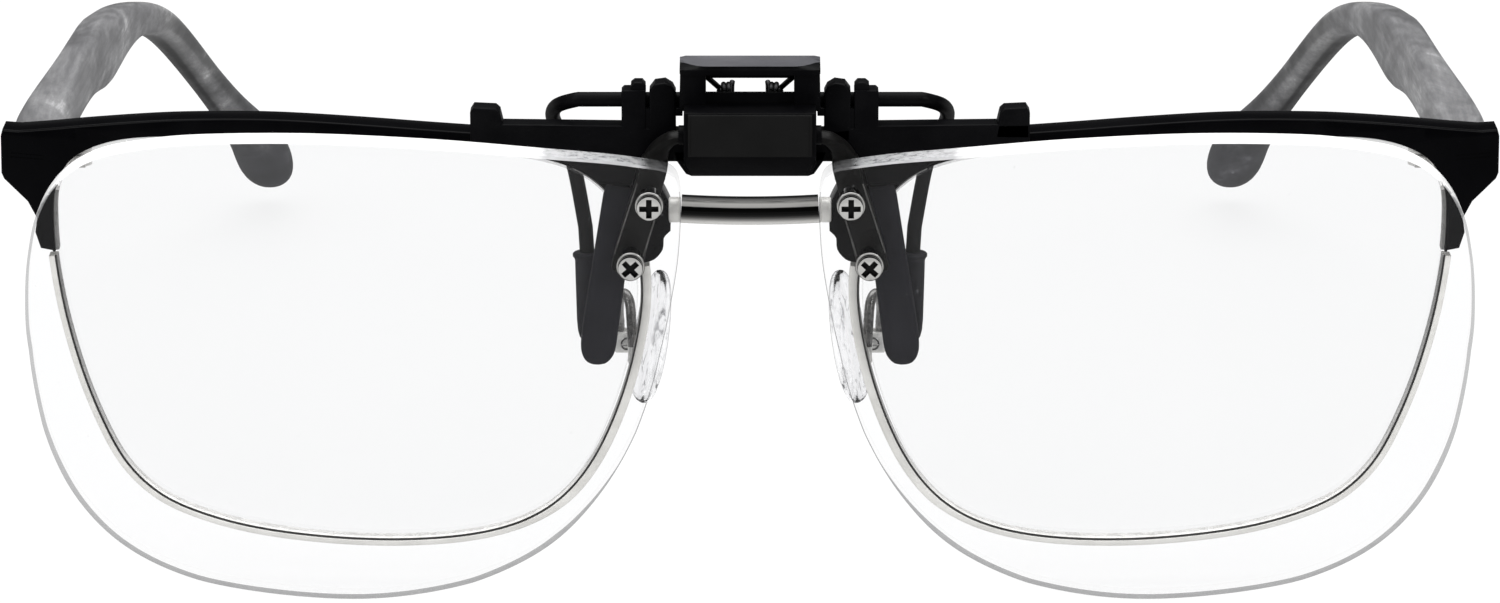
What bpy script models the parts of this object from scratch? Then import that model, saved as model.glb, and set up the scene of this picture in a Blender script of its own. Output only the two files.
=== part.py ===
"""Full-rim browline spectacles carrying a clip-on, flip-up pair of magnifying lenses.

Laid out in a "front frame" in millimetres: x to the right as seen from in front, y from
the front of the object towards the ear tips, z up, with the zero between the two
spectacle lenses. A root empty lifts that frame so that the object stands on z = 0 with
its box centred on the origin, in metres. "left" is at negative x, "right" at positive x.
Tables give the right side; the left is its mirror image, made with sign = -1.
"""
import bpy
import bmesh
from math import sin, cos, pi, radians
from mathutils import Vector, Matrix

# ---------------------------------------------------------------- shared dimensions, mm
MM = 0.001
SHIFT_Y = -65.0                     # front frame to the middle of the object's box
SHIFT_Z = 28.75                     # front frame to the plane the object stands on
SIDES = (("left", -1), ("right", 1))

GAP = 0.25                          # running and seating gap between neighbouring pieces

HINGE_X, HINGE_Y, HINGE_Z = 65.9, 12.9, 12.1    # temple hinge, inside the temple
PAD_X, PAD_Y, PAD_Z = 12.1, 7.9, -6.3           # nose pad swivel
FLIP_Y, FLIP_Z = -6.2, 18.4                     # axis of the magnifier flip shaft
FLIP_R = 1.0
JAW_Y, JAW_Z = -1.6, 20.7                       # axis of the sprung rear jaw
WIRE_R = 0.72                                   # jaw wire

# Opening of the spectacle rim, anticlockwise seen from in front: (x, z)
APERTURE = [
    (67.72, 3.48), (67.7, 6.8), (67.3, 9.6), (66.1, 11.8), (64.2, 13.4), (61.2, 14.8),
    (58.2, 15.55), (53.3, 16), (48, 16.15), (42, 16.15), (36, 15.95), (30, 15.6),
    (24, 15.1), (19.5, 14.3), (16, 12.9), (13.4, 10.6), (11.8, 7.6), (10.82, 3.81),
    (10.57, -0.03), (11.18, -4.17), (12.14, -8.21), (13.55, -12.24), (15.42, -16.29),
    (18.24, -20.08), (22.04, -22.6), (26.83, -23.97), (32.58, -24.53), (38.41, -24.58),
    (44.24, -24.23), (50.08, -23.47), (55.43, -21.96), (58.73, -20.2), (61.52, -17.21),
    (63.45, -13.15), (64.96, -9.22), (66.12, -5.2), (67.02, -1.28)]

# Spectacle lens surface: a shallow bowl, tilted to wrap towards the temples
LENS_CENTRE_X, LENS_CENTRE_Z = 37.0, -4.0
LENS_DIAMETER_X, LENS_DIAMETER_Z = 260.0, 320.0     # twice the radii of curvature
LENS_WRAP = 0.05                                    # slope at the centre

# Magnifier surface: a shallow bowl, leaning forward towards the top
MAG_CENTRE_X, MAG_CENTRE_Z = 35.0, -4.0
MAG_DEPTH = -10.0                   # y at the centre column, at height MAG_LEAN_Z
MAG_DIAMETER = 700.0                # twice the radius of curvature
MAG_LEAN, MAG_LEAN_Z = 0.08, 16.0

# Screws through magnifier and carrier: (name, x, z, turn of the cross slot in degrees)
LENS_SCREWS = (("upper", 9.61, 12.08, 0), ("lower", 11.41, 6.07, 42))
LENS_SCREW_HOLE_R = 0.9


def lens_surface(x, z):
    """Depth of the spectacle lens's middle surface."""
    out = abs(x) - LENS_CENTRE_X
    return (out * out / LENS_DIAMETER_X + LENS_WRAP * out
            + (z - LENS_CENTRE_Z) ** 2 / LENS_DIAMETER_Z)


def magnifier_surface(x, z):
    """Depth of the magnifier's front surface."""
    out = abs(x) - MAG_CENTRE_X
    bowl = (out * out + (z - MAG_CENTRE_Z) ** 2) / MAG_DIAMETER
    return MAG_DEPTH + bowl - MAG_LEAN * (z - MAG_LEAN_Z)


# ---------------------------------------------------------------- scene and pivots
for old in list(bpy.data.objects):
    bpy.data.objects.remove(old, do_unlink=True)


def new_collection(name):
    collection = bpy.data.collections.new(name)
    bpy.context.scene.collection.children.link(collection)
    return collection


PARTS = new_collection("flip_up_loupes")
TOOLS = new_collection("cutters")       # holds helper objects only while they are evaluated


def add_empty(name, position, parent=None):
    empty = bpy.data.objects.new(name, None)
    empty.empty_display_size = 0.005
    PARTS.objects.link(empty)
    empty.parent = parent
    empty.location = position
    return empty


# body name: (pivot in the front frame, parent empty of its parts)
BODIES = {"root": ((0.0, 0.0, 0.0),
                   add_empty("loupes_origin", (0.0, SHIFT_Y * MM, SHIFT_Z * MM)))}


def add_pivot(name, position):
    location = tuple(c * MM for c in position)
    BODIES[name] = (position, add_empty(name + "_axis", location, BODIES["root"][1]))


for side, sign in SIDES:
    add_pivot("temple_" + side, (sign * HINGE_X, HINGE_Y, HINGE_Z))
    add_pivot("nose_pad_" + side, (sign * PAD_X, PAD_Y, PAD_Z))
add_pivot("rear_jaw", (0.0, JAW_Y, JAW_Z))
add_pivot("lens_flip", (0.0, FLIP_Y, FLIP_Z))


# ---------------------------------------------------------------- materials
def finish(colour, roughness, metallic=0.0, alpha=1.0):
    """Settings of one finish, keyed by shader input."""
    return {"Base Color": (*colour, 1.0), "Roughness": roughness,
            "Metallic": metallic, "Alpha": alpha}


FINISHES = {
    "brow_gloss_black": finish((0.006, 0.006, 0.007), roughness=0.12),
    "rim_satin_silver": finish((0.60, 0.58, 0.54), roughness=0.32, metallic=1.0),
    "bridge_chrome": finish((0.72, 0.71, 0.69), roughness=0.06, metallic=1.0),
    "screw_chrome": finish((0.70, 0.70, 0.70), roughness=0.10, metallic=1.0),
    "lens_clear": finish((0.97, 0.98, 0.98), roughness=0.03, alpha=0.25),
    "magnifier_clear": finish((0.96, 0.97, 0.97), roughness=0.03, alpha=0.25),
    "pad_silicone": finish((0.90, 0.91, 0.92), roughness=0.20, alpha=0.5),
    "clip_black": finish((0.012, 0.012, 0.014), roughness=0.38),
    "badge_black": finish((0.020, 0.020, 0.021), roughness=0.45),
    "leg_rubber": finish((0.030, 0.030, 0.036), roughness=0.60),
    "temple_grey": finish((0.11, 0.11, 0.115), roughness=0.48),
    "hinge_steel": finish((0.55, 0.54, 0.52), roughness=0.28, metallic=1.0),
    "spring_steel": finish((0.42, 0.42, 0.43), roughness=0.30, metallic=1.0),
}


def new_material(name, settings):
    material = bpy.data.materials.new(name)
    material.use_nodes = True
    shader = material.node_tree.nodes["Principled BSDF"]
    for key, value in settings.items():
        shader.inputs[key].default_value = value
    material.diffuse_color = settings["Base Color"]
    return material


def add_part(name, bm, finish_name, body="root"):
    """Turn a closed bmesh in front-frame millimetres into a named part on its pivot."""
    pivot, parent = BODIES[body]
    bmesh.ops.remove_doubles(bm, verts=bm.verts, dist=1e-4)
    bmesh.ops.recalc_face_normals(bm, faces=bm.faces)
    bmesh.ops.translate(bm, verts=bm.verts, vec=-Vector(pivot))
    bmesh.ops.scale(bm, verts=bm.verts, vec=(MM, MM, MM))
    mesh = bpy.data.meshes.new(name)
    bm.to_mesh(mesh)
    bm.free()
    mesh.shade_smooth()
    mesh.set_sharp_from_angle(angle=radians(35.0))
    part = bpy.data.objects.new(name, mesh)
    PARTS.objects.link(part)
    part.parent = parent
    mesh.materials.append(new_material(name + "_" + finish_name, FINISHES[finish_name]))


# ---------------------------------------------------------------- points and outlines
def steps(low, high, count):
    return [low + (high - low) * i / count for i in range(count + 1)]


def around(middle, half):
    return middle - half, middle + half


def mirrored(points, sign):
    return [(sign * p[0], *p[1:]) for p in points]


def smooth(points, count, closed=False):
    """Points on a Catmull-Rom curve through the given points, count per span."""
    pts = [Vector(p) for p in points]
    size = len(pts)
    out = []
    for i in range(size if closed else size - 1):
        p1, p2 = pts[i], pts[(i + 1) % size]
        p0 = pts[i - 1] if closed or i > 0 else p1 * 2 - p2
        p3 = pts[(i + 2) % size] if closed or i + 2 < size else p2 * 2 - p1
        for k in range(count):
            t = k / count
            out.append(0.5 * (2 * p1 + (p2 - p0) * t + (2 * p0 - 5 * p1 + 4 * p2 - p3) * t * t
                              + (3 * p1 - p0 - 3 * p2 + p3) * t ** 3))
    if not closed:
        out.append(pts[-1])
    return out


def inset(loop, distance):
    """Move a closed anticlockwise loop (x, z) inwards along its normals."""
    out = []
    for i, point in enumerate(loop):
        along = (loop[(i + 1) % len(loop)] - loop[i - 1]).normalized()
        out.append(Vector((point[0] - along[1] * distance, point[1] + along[0] * distance)))
    return out


def rounded(width, height, count, power):
    """Superellipse outline; a higher power gives squarer corners."""
    out = []
    for i in range(count):
        angle = 2 * pi * (i + 0.5) / count
        c, s = cos(angle), sin(angle)
        r = (abs(c) ** power + abs(s) ** power) ** (-1 / power)
        out.append((0.5 * width * r * c, 0.5 * height * r * s))
    return out


# ---------------------------------------------------------------- solids
def box(x, y, z, sign=1):
    """Box from (low, high) ranges, mirrored in x by sign."""
    x = (sign * x[0], sign * x[1])
    bm = bmesh.new()
    bmesh.ops.create_cube(bm, size=1.0)
    bmesh.ops.scale(bm, verts=bm.verts, vec=[abs(r[1] - r[0]) for r in (x, y, z)])
    bmesh.ops.translate(bm, verts=bm.verts, vec=[(r[0] + r[1]) / 2 for r in (x, y, z)])
    return bm


def cylinder(start, end, radius, end_radius=None, segments=16):
    a, b = Vector(start), Vector(end)
    bm = bmesh.new()
    bmesh.ops.create_cone(bm, cap_ends=True, segments=segments, radius1=radius,
                          radius2=radius if end_radius is None else end_radius,
                          depth=(b - a).length)
    turn = (b - a).to_track_quat('Z', 'Y').to_matrix().to_4x4()
    bmesh.ops.transform(bm, matrix=Matrix.Translation((a + b) / 2) @ turn, verts=bm.verts)
    return bm


def cylinder_x(half_length, y, z, radius):
    """Cylinder across the middle of the object."""
    return cylinder((-half_length, y, z), (half_length, y, z), radius)


def cylinder_y(x, y, z, radius, end_radius=None, segments=12):
    """Cylinder from front to back over the range y."""
    return cylinder((x, y[0], z), (x, y[1], z), radius, end_radius, segments)


def loft(sections):
    """Skin a row of equal closed sections and cap both ends."""
    bm = bmesh.new()
    rings = [[bm.verts.new(p) for p in section] for section in sections]
    size = len(rings[0])
    for a, b in zip(rings, rings[1:]):
        for i in range(size):
            j = (i + 1) % size
            bm.faces.new((a[i], a[j], b[j], b[i]))
    bm.faces.new(rings[0])
    bm.faces.new(rings[-1])
    bmesh.ops.recalc_face_normals(bm, faces=bm.faces)
    return bm


def prism(profile, x0, x1):
    """Side profile (y, z) run from x0 to x1."""
    return loft([[(x, y, z) for y, z in profile] for x in (x0, x1)])


def run_loft(path, sizes, count, power=3.2, across=(1.0, 0.0, 0.0)):
    """Loft rounded sections (width across, height) square to a path."""
    path = [Vector(p) for p in path]
    sections = []
    for i, p in enumerate(path):
        along = (path[min(i + 1, len(path) - 1)] - path[max(i - 1, 0)]).normalized()
        wide = Vector(across)
        wide = (wide - along * wide.dot(along)).normalized()
        high = wide.cross(along).normalized()
        sections.append([p + wide * a + high * b
                         for a, b in rounded(*sizes[i], count, power)])
    return loft(sections)


def poly_curve_mesh(points, cyclic=False, **settings):
    """Mesh of a curve of straight spans with its caps welded, as a bmesh."""
    curve = bpy.data.curves.new("tool", 'CURVE')
    for key, value in settings.items():
        setattr(curve, key, value)
    spline = curve.splines.new('POLY')
    spline.points.add(len(points) - 1)
    for point, place in zip(spline.points, points):
        point.co = (*place, 1.0)
    spline.use_cyclic_u = cyclic
    helper = bpy.data.objects.new("tool", curve)
    TOOLS.objects.link(helper)
    depsgraph = bpy.context.evaluated_depsgraph_get()
    mesh = bpy.data.meshes.new_from_object(helper.evaluated_get(depsgraph))
    bm = bmesh.new()
    bm.from_mesh(mesh)
    bmesh.ops.remove_doubles(bm, verts=bm.verts, dist=1e-4)
    bpy.data.objects.remove(helper, do_unlink=True)
    bpy.data.curves.remove(curve)
    bpy.data.meshes.remove(mesh)
    return bm


def wire(points, radius, resolution=2):
    """Round wire along a list of points."""
    return poly_curve_mesh(points, dimensions='3D', bevel_depth=radius,
                           bevel_resolution=resolution, use_fill_caps=True)


def slab(loop, front, back, sign=1, xs=(), zs=()):
    """Closed plate from an outline (x, z), split at each x and z and mirrored by sign."""
    bm = poly_curve_mesh([(sign * p[0], p[1], 0.0) for p in loop], cyclic=True,
                         dimensions='2D', fill_mode='BOTH', extrude=abs(back - front) / 2)
    stand = Matrix(((1, 0, 0, 0), (0, 0, -1, (front + back) / 2), (0, 1, 0, 0), (0, 0, 0, 1)))
    bmesh.ops.transform(bm, matrix=stand, verts=bm.verts)
    bmesh.ops.dissolve_limit(bm, angle_limit=radians(0.5), verts=bm.verts, edges=bm.edges)
    planes = [((sign * x, 0, 0), (1, 0, 0)) for x in xs] + [((0, 0, z), (0, 0, 1)) for z in zs]
    for place, normal in planes:
        bmesh.ops.bisect_plane(bm, geom=bm.verts[:] + bm.edges[:] + bm.faces[:], dist=1e-4,
                               plane_co=place, plane_no=normal)
    bmesh.ops.recalc_face_normals(bm, faces=bm.faces)
    return bm


def bend(bm, depth):
    """Move every point back by depth(x, z)."""
    for v in bm.verts:
        v.co.y += depth(v.co.x, v.co.z)
    return bm


def merge(first, second, operation):
    """Boolean of two closed bmeshes."""
    helpers = []
    for bm in (first, second):
        bmesh.ops.recalc_face_normals(bm, faces=bm.faces)
        mesh = bpy.data.meshes.new("tool")
        bm.to_mesh(mesh)
        bm.free()
        helper = bpy.data.objects.new("tool", mesh)
        helper.hide_render = True
        TOOLS.objects.link(helper)
        helpers.append(helper)
    modifier = helpers[0].modifiers.new("tool", 'BOOLEAN')
    modifier.solver = 'EXACT'
    modifier.operation = operation
    modifier.object = helpers[1]
    depsgraph = bpy.context.evaluated_depsgraph_get()
    result = bpy.data.meshes.new_from_object(helpers[0].evaluated_get(depsgraph))
    out = bmesh.new()
    out.from_mesh(result)
    for helper in helpers:
        mesh = helper.data
        bpy.data.objects.remove(helper, do_unlink=True)
        bpy.data.meshes.remove(mesh)
    bpy.data.meshes.remove(result)
    bmesh.ops.remove_doubles(out, verts=out.verts, dist=1e-4)
    return out


def union(first, *others):
    for bm in others:
        first = merge(first, bm, 'UNION')
    return first


def cut(first, *others):
    for bm in others:
        first = merge(first, bm, 'DIFFERENCE')
    return first


# ---------------------------------------------------------------- spectacle front
OPENING = smooth(APERTURE, 2, closed=True)
LENS_T = 1.8                        # spectacle lens thickness
RIM_W, RIM_D = 0.8, 1.7             # rim band across the front, and front to back
RIM_TOP = 3.35                      # the rim follows the opening below this height
BROW_BOTTOM = 3.7                   # and the brow follows it above this one
BROW_FRONT, BROW_BACK = 1.6, 1.8    # brow in front of and behind the lens mid surface

# Outer edge of the brow, from the temple side to the nose side: (x, z)
BROW_EDGE = [
    # end piece
    (67.75, 3.75), (69.2, 4.15), (69.72, 5.7), (69.5, 7.1), (70.4, 8.7), (72.75, 10.75),
    (73.0, 11.3), (73.0, 14.9), (72.8, 15.6),
    # top
    (71.2, 15.62), (67.6, 16.15), (64.1, 16.7), (58.2, 17.45), (53.2, 17.85),
    (46.0, 18.1), (37.6, 17.78), (31.8, 17.38), (25.0, 16.88), (19.0, 16.2),
    (14.5, 15.1), (11.3, 13.4), (9.1, 11.8), (8.2, 10.5), (7.75, 9.5),
    # tongue beside the nose
    (7.7, 6.9), (8.35, 6.2), (8.45, 5.1), (9.25, 4.15), (10.3, 3.85)]

# The end piece reaches back to END_BACK, blending in over these ranges
END_BACK = 12.35
END_X, END_LOW, END_HIGH = (68.2, 69.4), (5.5, 7.5), (12.8, 14.4)

BRIDGE_R, BRIDGE_Y, BRIDGE_Z = 1.33, 0.6, 8.95
BRIDGE_HALF, BRIDGE_SAG = 6.6, 0.2
COLLAR_X, COLLAR_R, COLLAR_DROP = (6.72, 7.45), 1.22, 0.35


def ramp(value, start, full):
    """0 at start, 1 at full, held beyond them."""
    return min(1.0, max(0.0, (value - start) / (full - start)))


def brow_depth(x, z, back):
    """Depth of the front or back face of the brow."""
    if not back:
        return lens_surface(x, z) - BROW_FRONT
    y = lens_surface(x, z) + BROW_BACK
    t = ramp(abs(x), *END_X) * ramp(z, *END_LOW) * ramp(z, END_HIGH[1], END_HIGH[0])
    t = t * t * (3 - 2 * t)
    return y + (END_BACK - y) * t


def add_brow(side, sign):
    inner = [p for p in reversed(OPENING) if p[1] > BROW_BOTTOM]
    bm = slab(BROW_EDGE + inner, -1.0, 1.0, sign,
              xs=steps(12, 66, 9) + [END_X[0], 68.8, END_X[1], 70.6], zs=END_LOW + END_HIGH)
    for v in bm.verts:
        v.co.y = brow_depth(v.co.x, v.co.z, back=v.co.y > 0)
    add_part("brow_" + side, bm, "brow_gloss_black")


def add_rim(side, sign):
    """Metal band round the lower edge of the lens, from the temple to the nose side."""
    run = [p for p in reversed(OPENING) if p[1] < RIM_TOP]
    sections = []
    for i, inner in enumerate(run):
        along = (run[min(i + 1, len(run) - 1)] - run[max(i - 1, 0)]).normalized()
        outer = inner + Vector((-along[1], along[0])) * RIM_W
        front, back = around(lens_surface(*inner), RIM_D / 2)
        sections.append([(sign * inner[0], front, inner[1]), (sign * outer[0], front, outer[1]),
                         (sign * outer[0], back, outer[1]), (sign * inner[0], back, inner[1])])
    add_part("rim_" + side, loft(sections), "rim_satin_silver")


def add_spectacle_lens(side, sign):
    bm = slab(inset(OPENING, GAP), -LENS_T / 2, LENS_T / 2, sign,
              xs=steps(18, 61, 6), zs=steps(-17, 10, 4))
    add_part("spectacle_lens_" + side, bend(bm, lens_surface), "lens_clear")


def add_bridge_collar(side, sign):
    """Collar where the bridge meets the brow."""
    ends = [(sign * x, BRIDGE_Y, BRIDGE_Z - COLLAR_DROP) for x in COLLAR_X]
    add_part("bridge_collar_" + side, cylinder(*ends, COLLAR_R), "rim_satin_silver")


def add_bridge():
    """Bridge bar with a slight sag in the middle."""
    points = [(x, BRIDGE_Y, BRIDGE_Z - BRIDGE_SAG * (1 - (x / BRIDGE_HALF) ** 2))
              for x in steps(-BRIDGE_HALF, BRIDGE_HALF, 8)]
    add_part("bridge_bar", wire(points, BRIDGE_R, 4), "bridge_chrome")


# ---------------------------------------------------------------- nose pads
PAD_ARM_R = 0.42
PAD_ARM = [(11.4, 2.5, -6.6), (11.55, 3.2, -3.6), (11.75, 4.1, -1.4), (12.25, 5.1, -0.7),
           (12.75, 6.1, -1.4), (12.9, 7.1, -3.2), (12.7, 7.8, -5.6)]
PAD_CUP_X, PAD_CUP_SLOT_X, PAD_TONGUE_X = (11.3, 13.3), (10.9, 12.8), (9.9, 12.45)
PAD_CENTRE_X, PAD_CENTRE_Y, PAD_CENTRE_Z = 9.75, PAD_Y + 0.3, -6.0
PAD_HALF_T, PAD_HALF_W, PAD_HALF_H = 1.0, 3.5, 6.7
PAD_TAPER = 0.12                    # narrower at the top, wider at the bottom
PAD_TURN, PAD_LEAN = -24, -10.5     # degrees about z and y


def pad_bore(sign, radius):
    return cylinder_y(sign * PAD_X, around(PAD_Y, 2), PAD_Z, radius)


def add_nose_pad_arm(side, sign):
    """Wire arm ending in a cup that is open towards the nose."""
    arm = wire(mirrored(smooth(PAD_ARM, 3), sign), PAD_ARM_R)
    cup = box(PAD_CUP_X, around(PAD_Y, 1.0), around(PAD_Z, 1.05), sign)
    slot = box(PAD_CUP_SLOT_X, around(PAD_Y, 0.55), around(PAD_Z, 2), sign)
    bm = cut(union(cup, arm), slot, pad_bore(sign, 0.6))
    add_part("nose_pad_arm_" + side, bm, "rim_satin_silver")


def add_nose_pad(side, sign):
    """Soft drop shape facing the nose, with a tongue into the arm's cup."""
    turn = (Matrix.Rotation(radians(PAD_TURN * sign), 3, 'Z')
            @ Matrix.Rotation(radians(PAD_LEAN * sign), 3, 'Y'))
    centre = Vector((sign * PAD_CENTRE_X, PAD_CENTRE_Y, PAD_CENTRE_Z))
    sections = []
    for rise in steps(-pi / 2, pi / 2, 10):
        half_w = max(0.25, PAD_HALF_W * cos(rise) ** 0.8) * (1.0 - PAD_TAPER * sin(rise))
        half_t = max(0.2, PAD_HALF_T * cos(rise) ** 0.6)
        angles = [2 * pi * (i + 0.5) / 12 for i in range(12)]
        sections.append([
            turn @ Vector((half_t * cos(a), half_w * sin(a), PAD_HALF_H * sin(rise))) + centre
            for a in angles])
    tongue = box(PAD_TONGUE_X, around(PAD_Y, 0.3), around(PAD_Z, 0.8), sign)
    bm = cut(union(loft(sections), tongue), pad_bore(sign, 0.55))
    add_part("nose_pad_" + side, bm, "pad_silicone", "nose_pad_" + side)


def add_nose_pad_screw(side, sign):
    head = cylinder_y(sign * PAD_X, (PAD_Y - 1.75, PAD_Y - 1.25), PAD_Z, 0.62)
    shank = cylinder_y(sign * PAD_X, (PAD_Y - 1.4, PAD_Y + 1.3), PAD_Z, 0.3)
    add_part("nose_pad_screw_" + side, union(head, shank), "screw_chrome")


# ---------------------------------------------------------------- temples and hinges
BARREL_R, PIN_R = 1.05, 0.45
LEAF_HALF, LEAF_INNER = 1.75, 0.75      # outer and inner heights of the front leaf's webs
SKEW = 0.001                            # keeps barrel ends off the planes of the webs
FRONT_LEAF_X, FRONT_LEAF_Y = (66.9, 68.05), (8.3, 12.3)
WEB_X, WEB_Y = (65.4, 67.3), (11.4, HINGE_Y)
LEAF_SLOT_X, LEAF_SLOT_Y, LEAF_SLOT_HALF = (64.5, 68.2), (11.55, 15.0), 0.74
TEMPLE_LEAF_X, TEMPLE_LEAF_Y = (66.1, 66.85), (HINGE_Y, 19.5)
TEMPLE_LEAF_HALF = 0.5

# Temple stations: (x, y, z, width across, height square to the run)
TEMPLE = [
    (70.6, 13.45, 12.0, 4.3, 3.8), (70.1, 18.0, 12.8, 4.8, 4.8),
    (68.75, 31.0, 13.9, 3.4, 5.8), (68.75, 43.0, 12.75, 3.4, 6.3),
    (68.6, 52.0, 11.65, 3.7, 7.2), (68.4, 58.0, 11.1, 3.8, 6.6),
    (68.2, 68.0, 10.15, 3.9, 5.2), (67.8, 78.0, 8.75, 3.9, 4.0),
    (67.0, 88.0, 6.6, 3.9, 3.5), (65.9, 97.0, 3.4, 3.8, 3.5),
    (64.4, 105.0, -1.2, 3.6, 3.7), (62.4, 113.0, -7.0, 3.5, 3.9),
    (60.3, 120.5, -12.6, 4.2, 4.0), (58.2, 127.5, -17.7, 6.2, 4.1),
    (57.7, 133.5, -21.8, 6.6, 3.9), (57.5, 136.9, -24.2, 5.8, 3.5),
    (57.5, 138.6, -25.5, 4.2, 2.7), (57.5, 139.4, -26.15, 2.4, 1.8)]


def hinge_cylinder(sign, low, high, radius, segments=16):
    """Upright cylinder on the hinge axis, heights measured from its middle."""
    x = sign * HINGE_X
    return cylinder((x, HINGE_Y, HINGE_Z + low), (x, HINGE_Y, HINGE_Z + high), radius,
                    segments=segments)


def hinge_bore(sign):
    return hinge_cylinder(sign, -5, 5, PIN_R + GAP, segments=12)


def add_front_hinge_leaf(side, sign):
    """Two barrels and their webs on a plate at the inner side of the end piece."""
    low, high = LEAF_INNER, LEAF_HALF
    bm = union(box(FRONT_LEAF_X, FRONT_LEAF_Y, around(HINGE_Z, high), sign),
               box(WEB_X, WEB_Y, (HINGE_Z + low, HINGE_Z + high), sign),
               box(WEB_X, WEB_Y, (HINGE_Z - high, HINGE_Z - low), sign),
               hinge_cylinder(sign, low + SKEW, high + SKEW, BARREL_R),
               hinge_cylinder(sign, -high - SKEW, -low - SKEW, BARREL_R))
    slot = box(LEAF_SLOT_X, LEAF_SLOT_Y, around(HINGE_Z, LEAF_SLOT_HALF), sign)
    add_part("front_hinge_leaf_" + side, cut(bm, slot, hinge_bore(sign)), "hinge_steel")


def add_temple_hinge_leaf(side, sign):
    """The middle barrel on a plate along the temple's inner face."""
    half = TEMPLE_LEAF_HALF
    bm = union(box(TEMPLE_LEAF_X, TEMPLE_LEAF_Y, around(HINGE_Z, half), sign),
               hinge_cylinder(sign, -half, half, BARREL_R))
    add_part("temple_hinge_leaf_" + side, cut(bm, hinge_bore(sign)), "hinge_steel",
             "temple_" + side)


def add_hinge_screw(side, sign):
    bm = union(hinge_cylinder(sign, -2.0, 2.1, PIN_R, segments=12),
               hinge_cylinder(sign, 2.0, 2.45, 0.85, segments=12))
    add_part("hinge_screw_" + side, bm, "screw_chrome")


def add_temple(side, sign):
    path = mirrored(smooth([p[:3] for p in TEMPLE], 2), sign)
    bm = run_loft(path, smooth([p[3:] for p in TEMPLE], 2), 12)
    add_part("temple_" + side, bm, "temple_grey", "temple_" + side)


# ---------------------------------------------------------------- clip body
BAR_FRONT, BAR_BACK = -3.3, -0.9        # the clip's cross bar
FRONT_LEG_Y = -1.55
LEG_CORE = [(12.3, FRONT_LEG_Y, 13.0), (14.2, FRONT_LEG_Y, 0.0)]
LEG_CORE_W, LEG_CORE_T = 1.9, 0.8
LEG_SOCKET = [(12.2, FRONT_LEG_Y, 13.7), (14.26, FRONT_LEG_Y, -0.4)]
LEG_COVER_T = 1.95

# Cross bar and its uprights, right half, outer end to middle: (x, z)
BAR_UPPER = [
    (26.8, 16.75), (26.8, 19.8), (26.5, 20.35), (24.3, 20.25), (23.9, 19.9),
    (23.7, 18.75), (12.3, 18.5), (12.3, 21.7), (12.05, 21.98), (11.5, 22.0),
    (11.4, 22.5), (11.1, 22.75), (10.25, 22.75), (9.95, 22.4), (9.95, 20.2),
    (9.75, 20.15), (9.65, 22.0), (9.1, 22.65), (8.1, 22.75), (7.35, 22.3),
    (7.1, 21.7), (7.1, 17.9)]
# Underside with the webs above the front legs, outer end to middle: (x, z)
BAR_UNDER = [(20.0, 16.1), (14.4, 12.7), (11.3, 12.55), (10.6, 14.9), (7.2, 14.9)]

# Housing of the flip shaft: side profile (y, z), and lowest z at each x
HOUSING = [(-8.0, 21.0), (-8.0, 16.7), (-6.8, 14.5), (-3.2, 14.4), (-3.2, 21.0)]
HOUSING_FLOOR = ((-6.3, 15.5), (-5.7, 14.4), (5.7, 14.4), (6.3, 15.5))

CHEEK_FACES = ((4.2, 4.2), (6.75, 6.65))        # x at the foot and at the top
PINCH_PLATE = [(-5.9, 24.15), (-6.1, 25.05), (-2.3, 25.25), (-2.1, 24.5)]   # (y, z)

# Front leg cover stations, top to bottom: (x, z, width)
LEG_COVER = [(12.42, 12.2, 3.1), (12.9, 8.9, 3.2), (13.7, 3.4, 3.35), (14.45, -1.8, 3.5),
             (14.75, -4.3, 3.4), (14.9, -5.4, 2.6), (14.95, -5.85, 1.4)]

DETENT_HALF, DETENT_Y, DETENT_BOW, DETENT_Z = 2.9, -4.55, 0.28, 18.35
DETENT_H, DETENT_T = 1.6, 0.2


def add_clip_body():
    loop = (BAR_UPPER + mirrored(reversed(BAR_UPPER), -1)
            + mirrored(BAR_UNDER, -1) + BAR_UNDER[::-1])
    bm = slab(loop, BAR_FRONT, BAR_BACK)
    for _, sign in SIDES:
        # front leg core, leaning outwards on the way down, and a block beside the housing
        core = run_loft(mirrored(LEG_CORE, sign), [(LEG_CORE_W, LEG_CORE_T)] * 2, 8, 6.0)
        block = box((6.45, 7.2), (BAR_FRONT + 0.1, BAR_BACK - 0.1), (19.45, 20.2), sign)
        bm = union(bm, core, block)
    housing = loft([[(x, y, max(z, floor)) for y, z in HOUSING] for x, floor in HOUSING_FLOOR])
    strip = box((-4.6, 4.6), (-4.15, -3.55), (20.5, 22.0))      # across the housing top
    bm = union(bm, housing, strip)
    for _, sign in SIDES:
        bm = union(bm, loft([
            [(sign * foot, -4.7, 20.3), (sign * top, -5.7, 24.75),
             (sign * top, -3.4, 24.75), (sign * foot, -3.42, 20.3)]
            for foot, top in CHEEK_FACES]))
    bm = union(bm, prism(PINCH_PLATE, -6.7, 6.7))
    # bores for the flip shaft and the jaw wire, and the detent spring's pocket
    bm = cut(bm, cylinder_x(8, FLIP_Y, FLIP_Z, FLIP_R + GAP),
             cylinder_x(13, JAW_Y, JAW_Z, WIRE_R + 0.2),
             box((-3.2, 3.2), (-5.3, -0.5), (17.1, 19.6)))
    add_part("clip_body", bm, "clip_black")


def add_badge():
    """Blank plate on the front of the housing."""
    bm = box((-5.9, 5.9), (-8.75, -8.2), (16.85, 20.95))
    bmesh.ops.bevel(bm, geom=bm.edges[:], offset=0.12, segments=1, affect='EDGES')
    add_part("badge_plate", bm, "badge_black")


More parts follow.
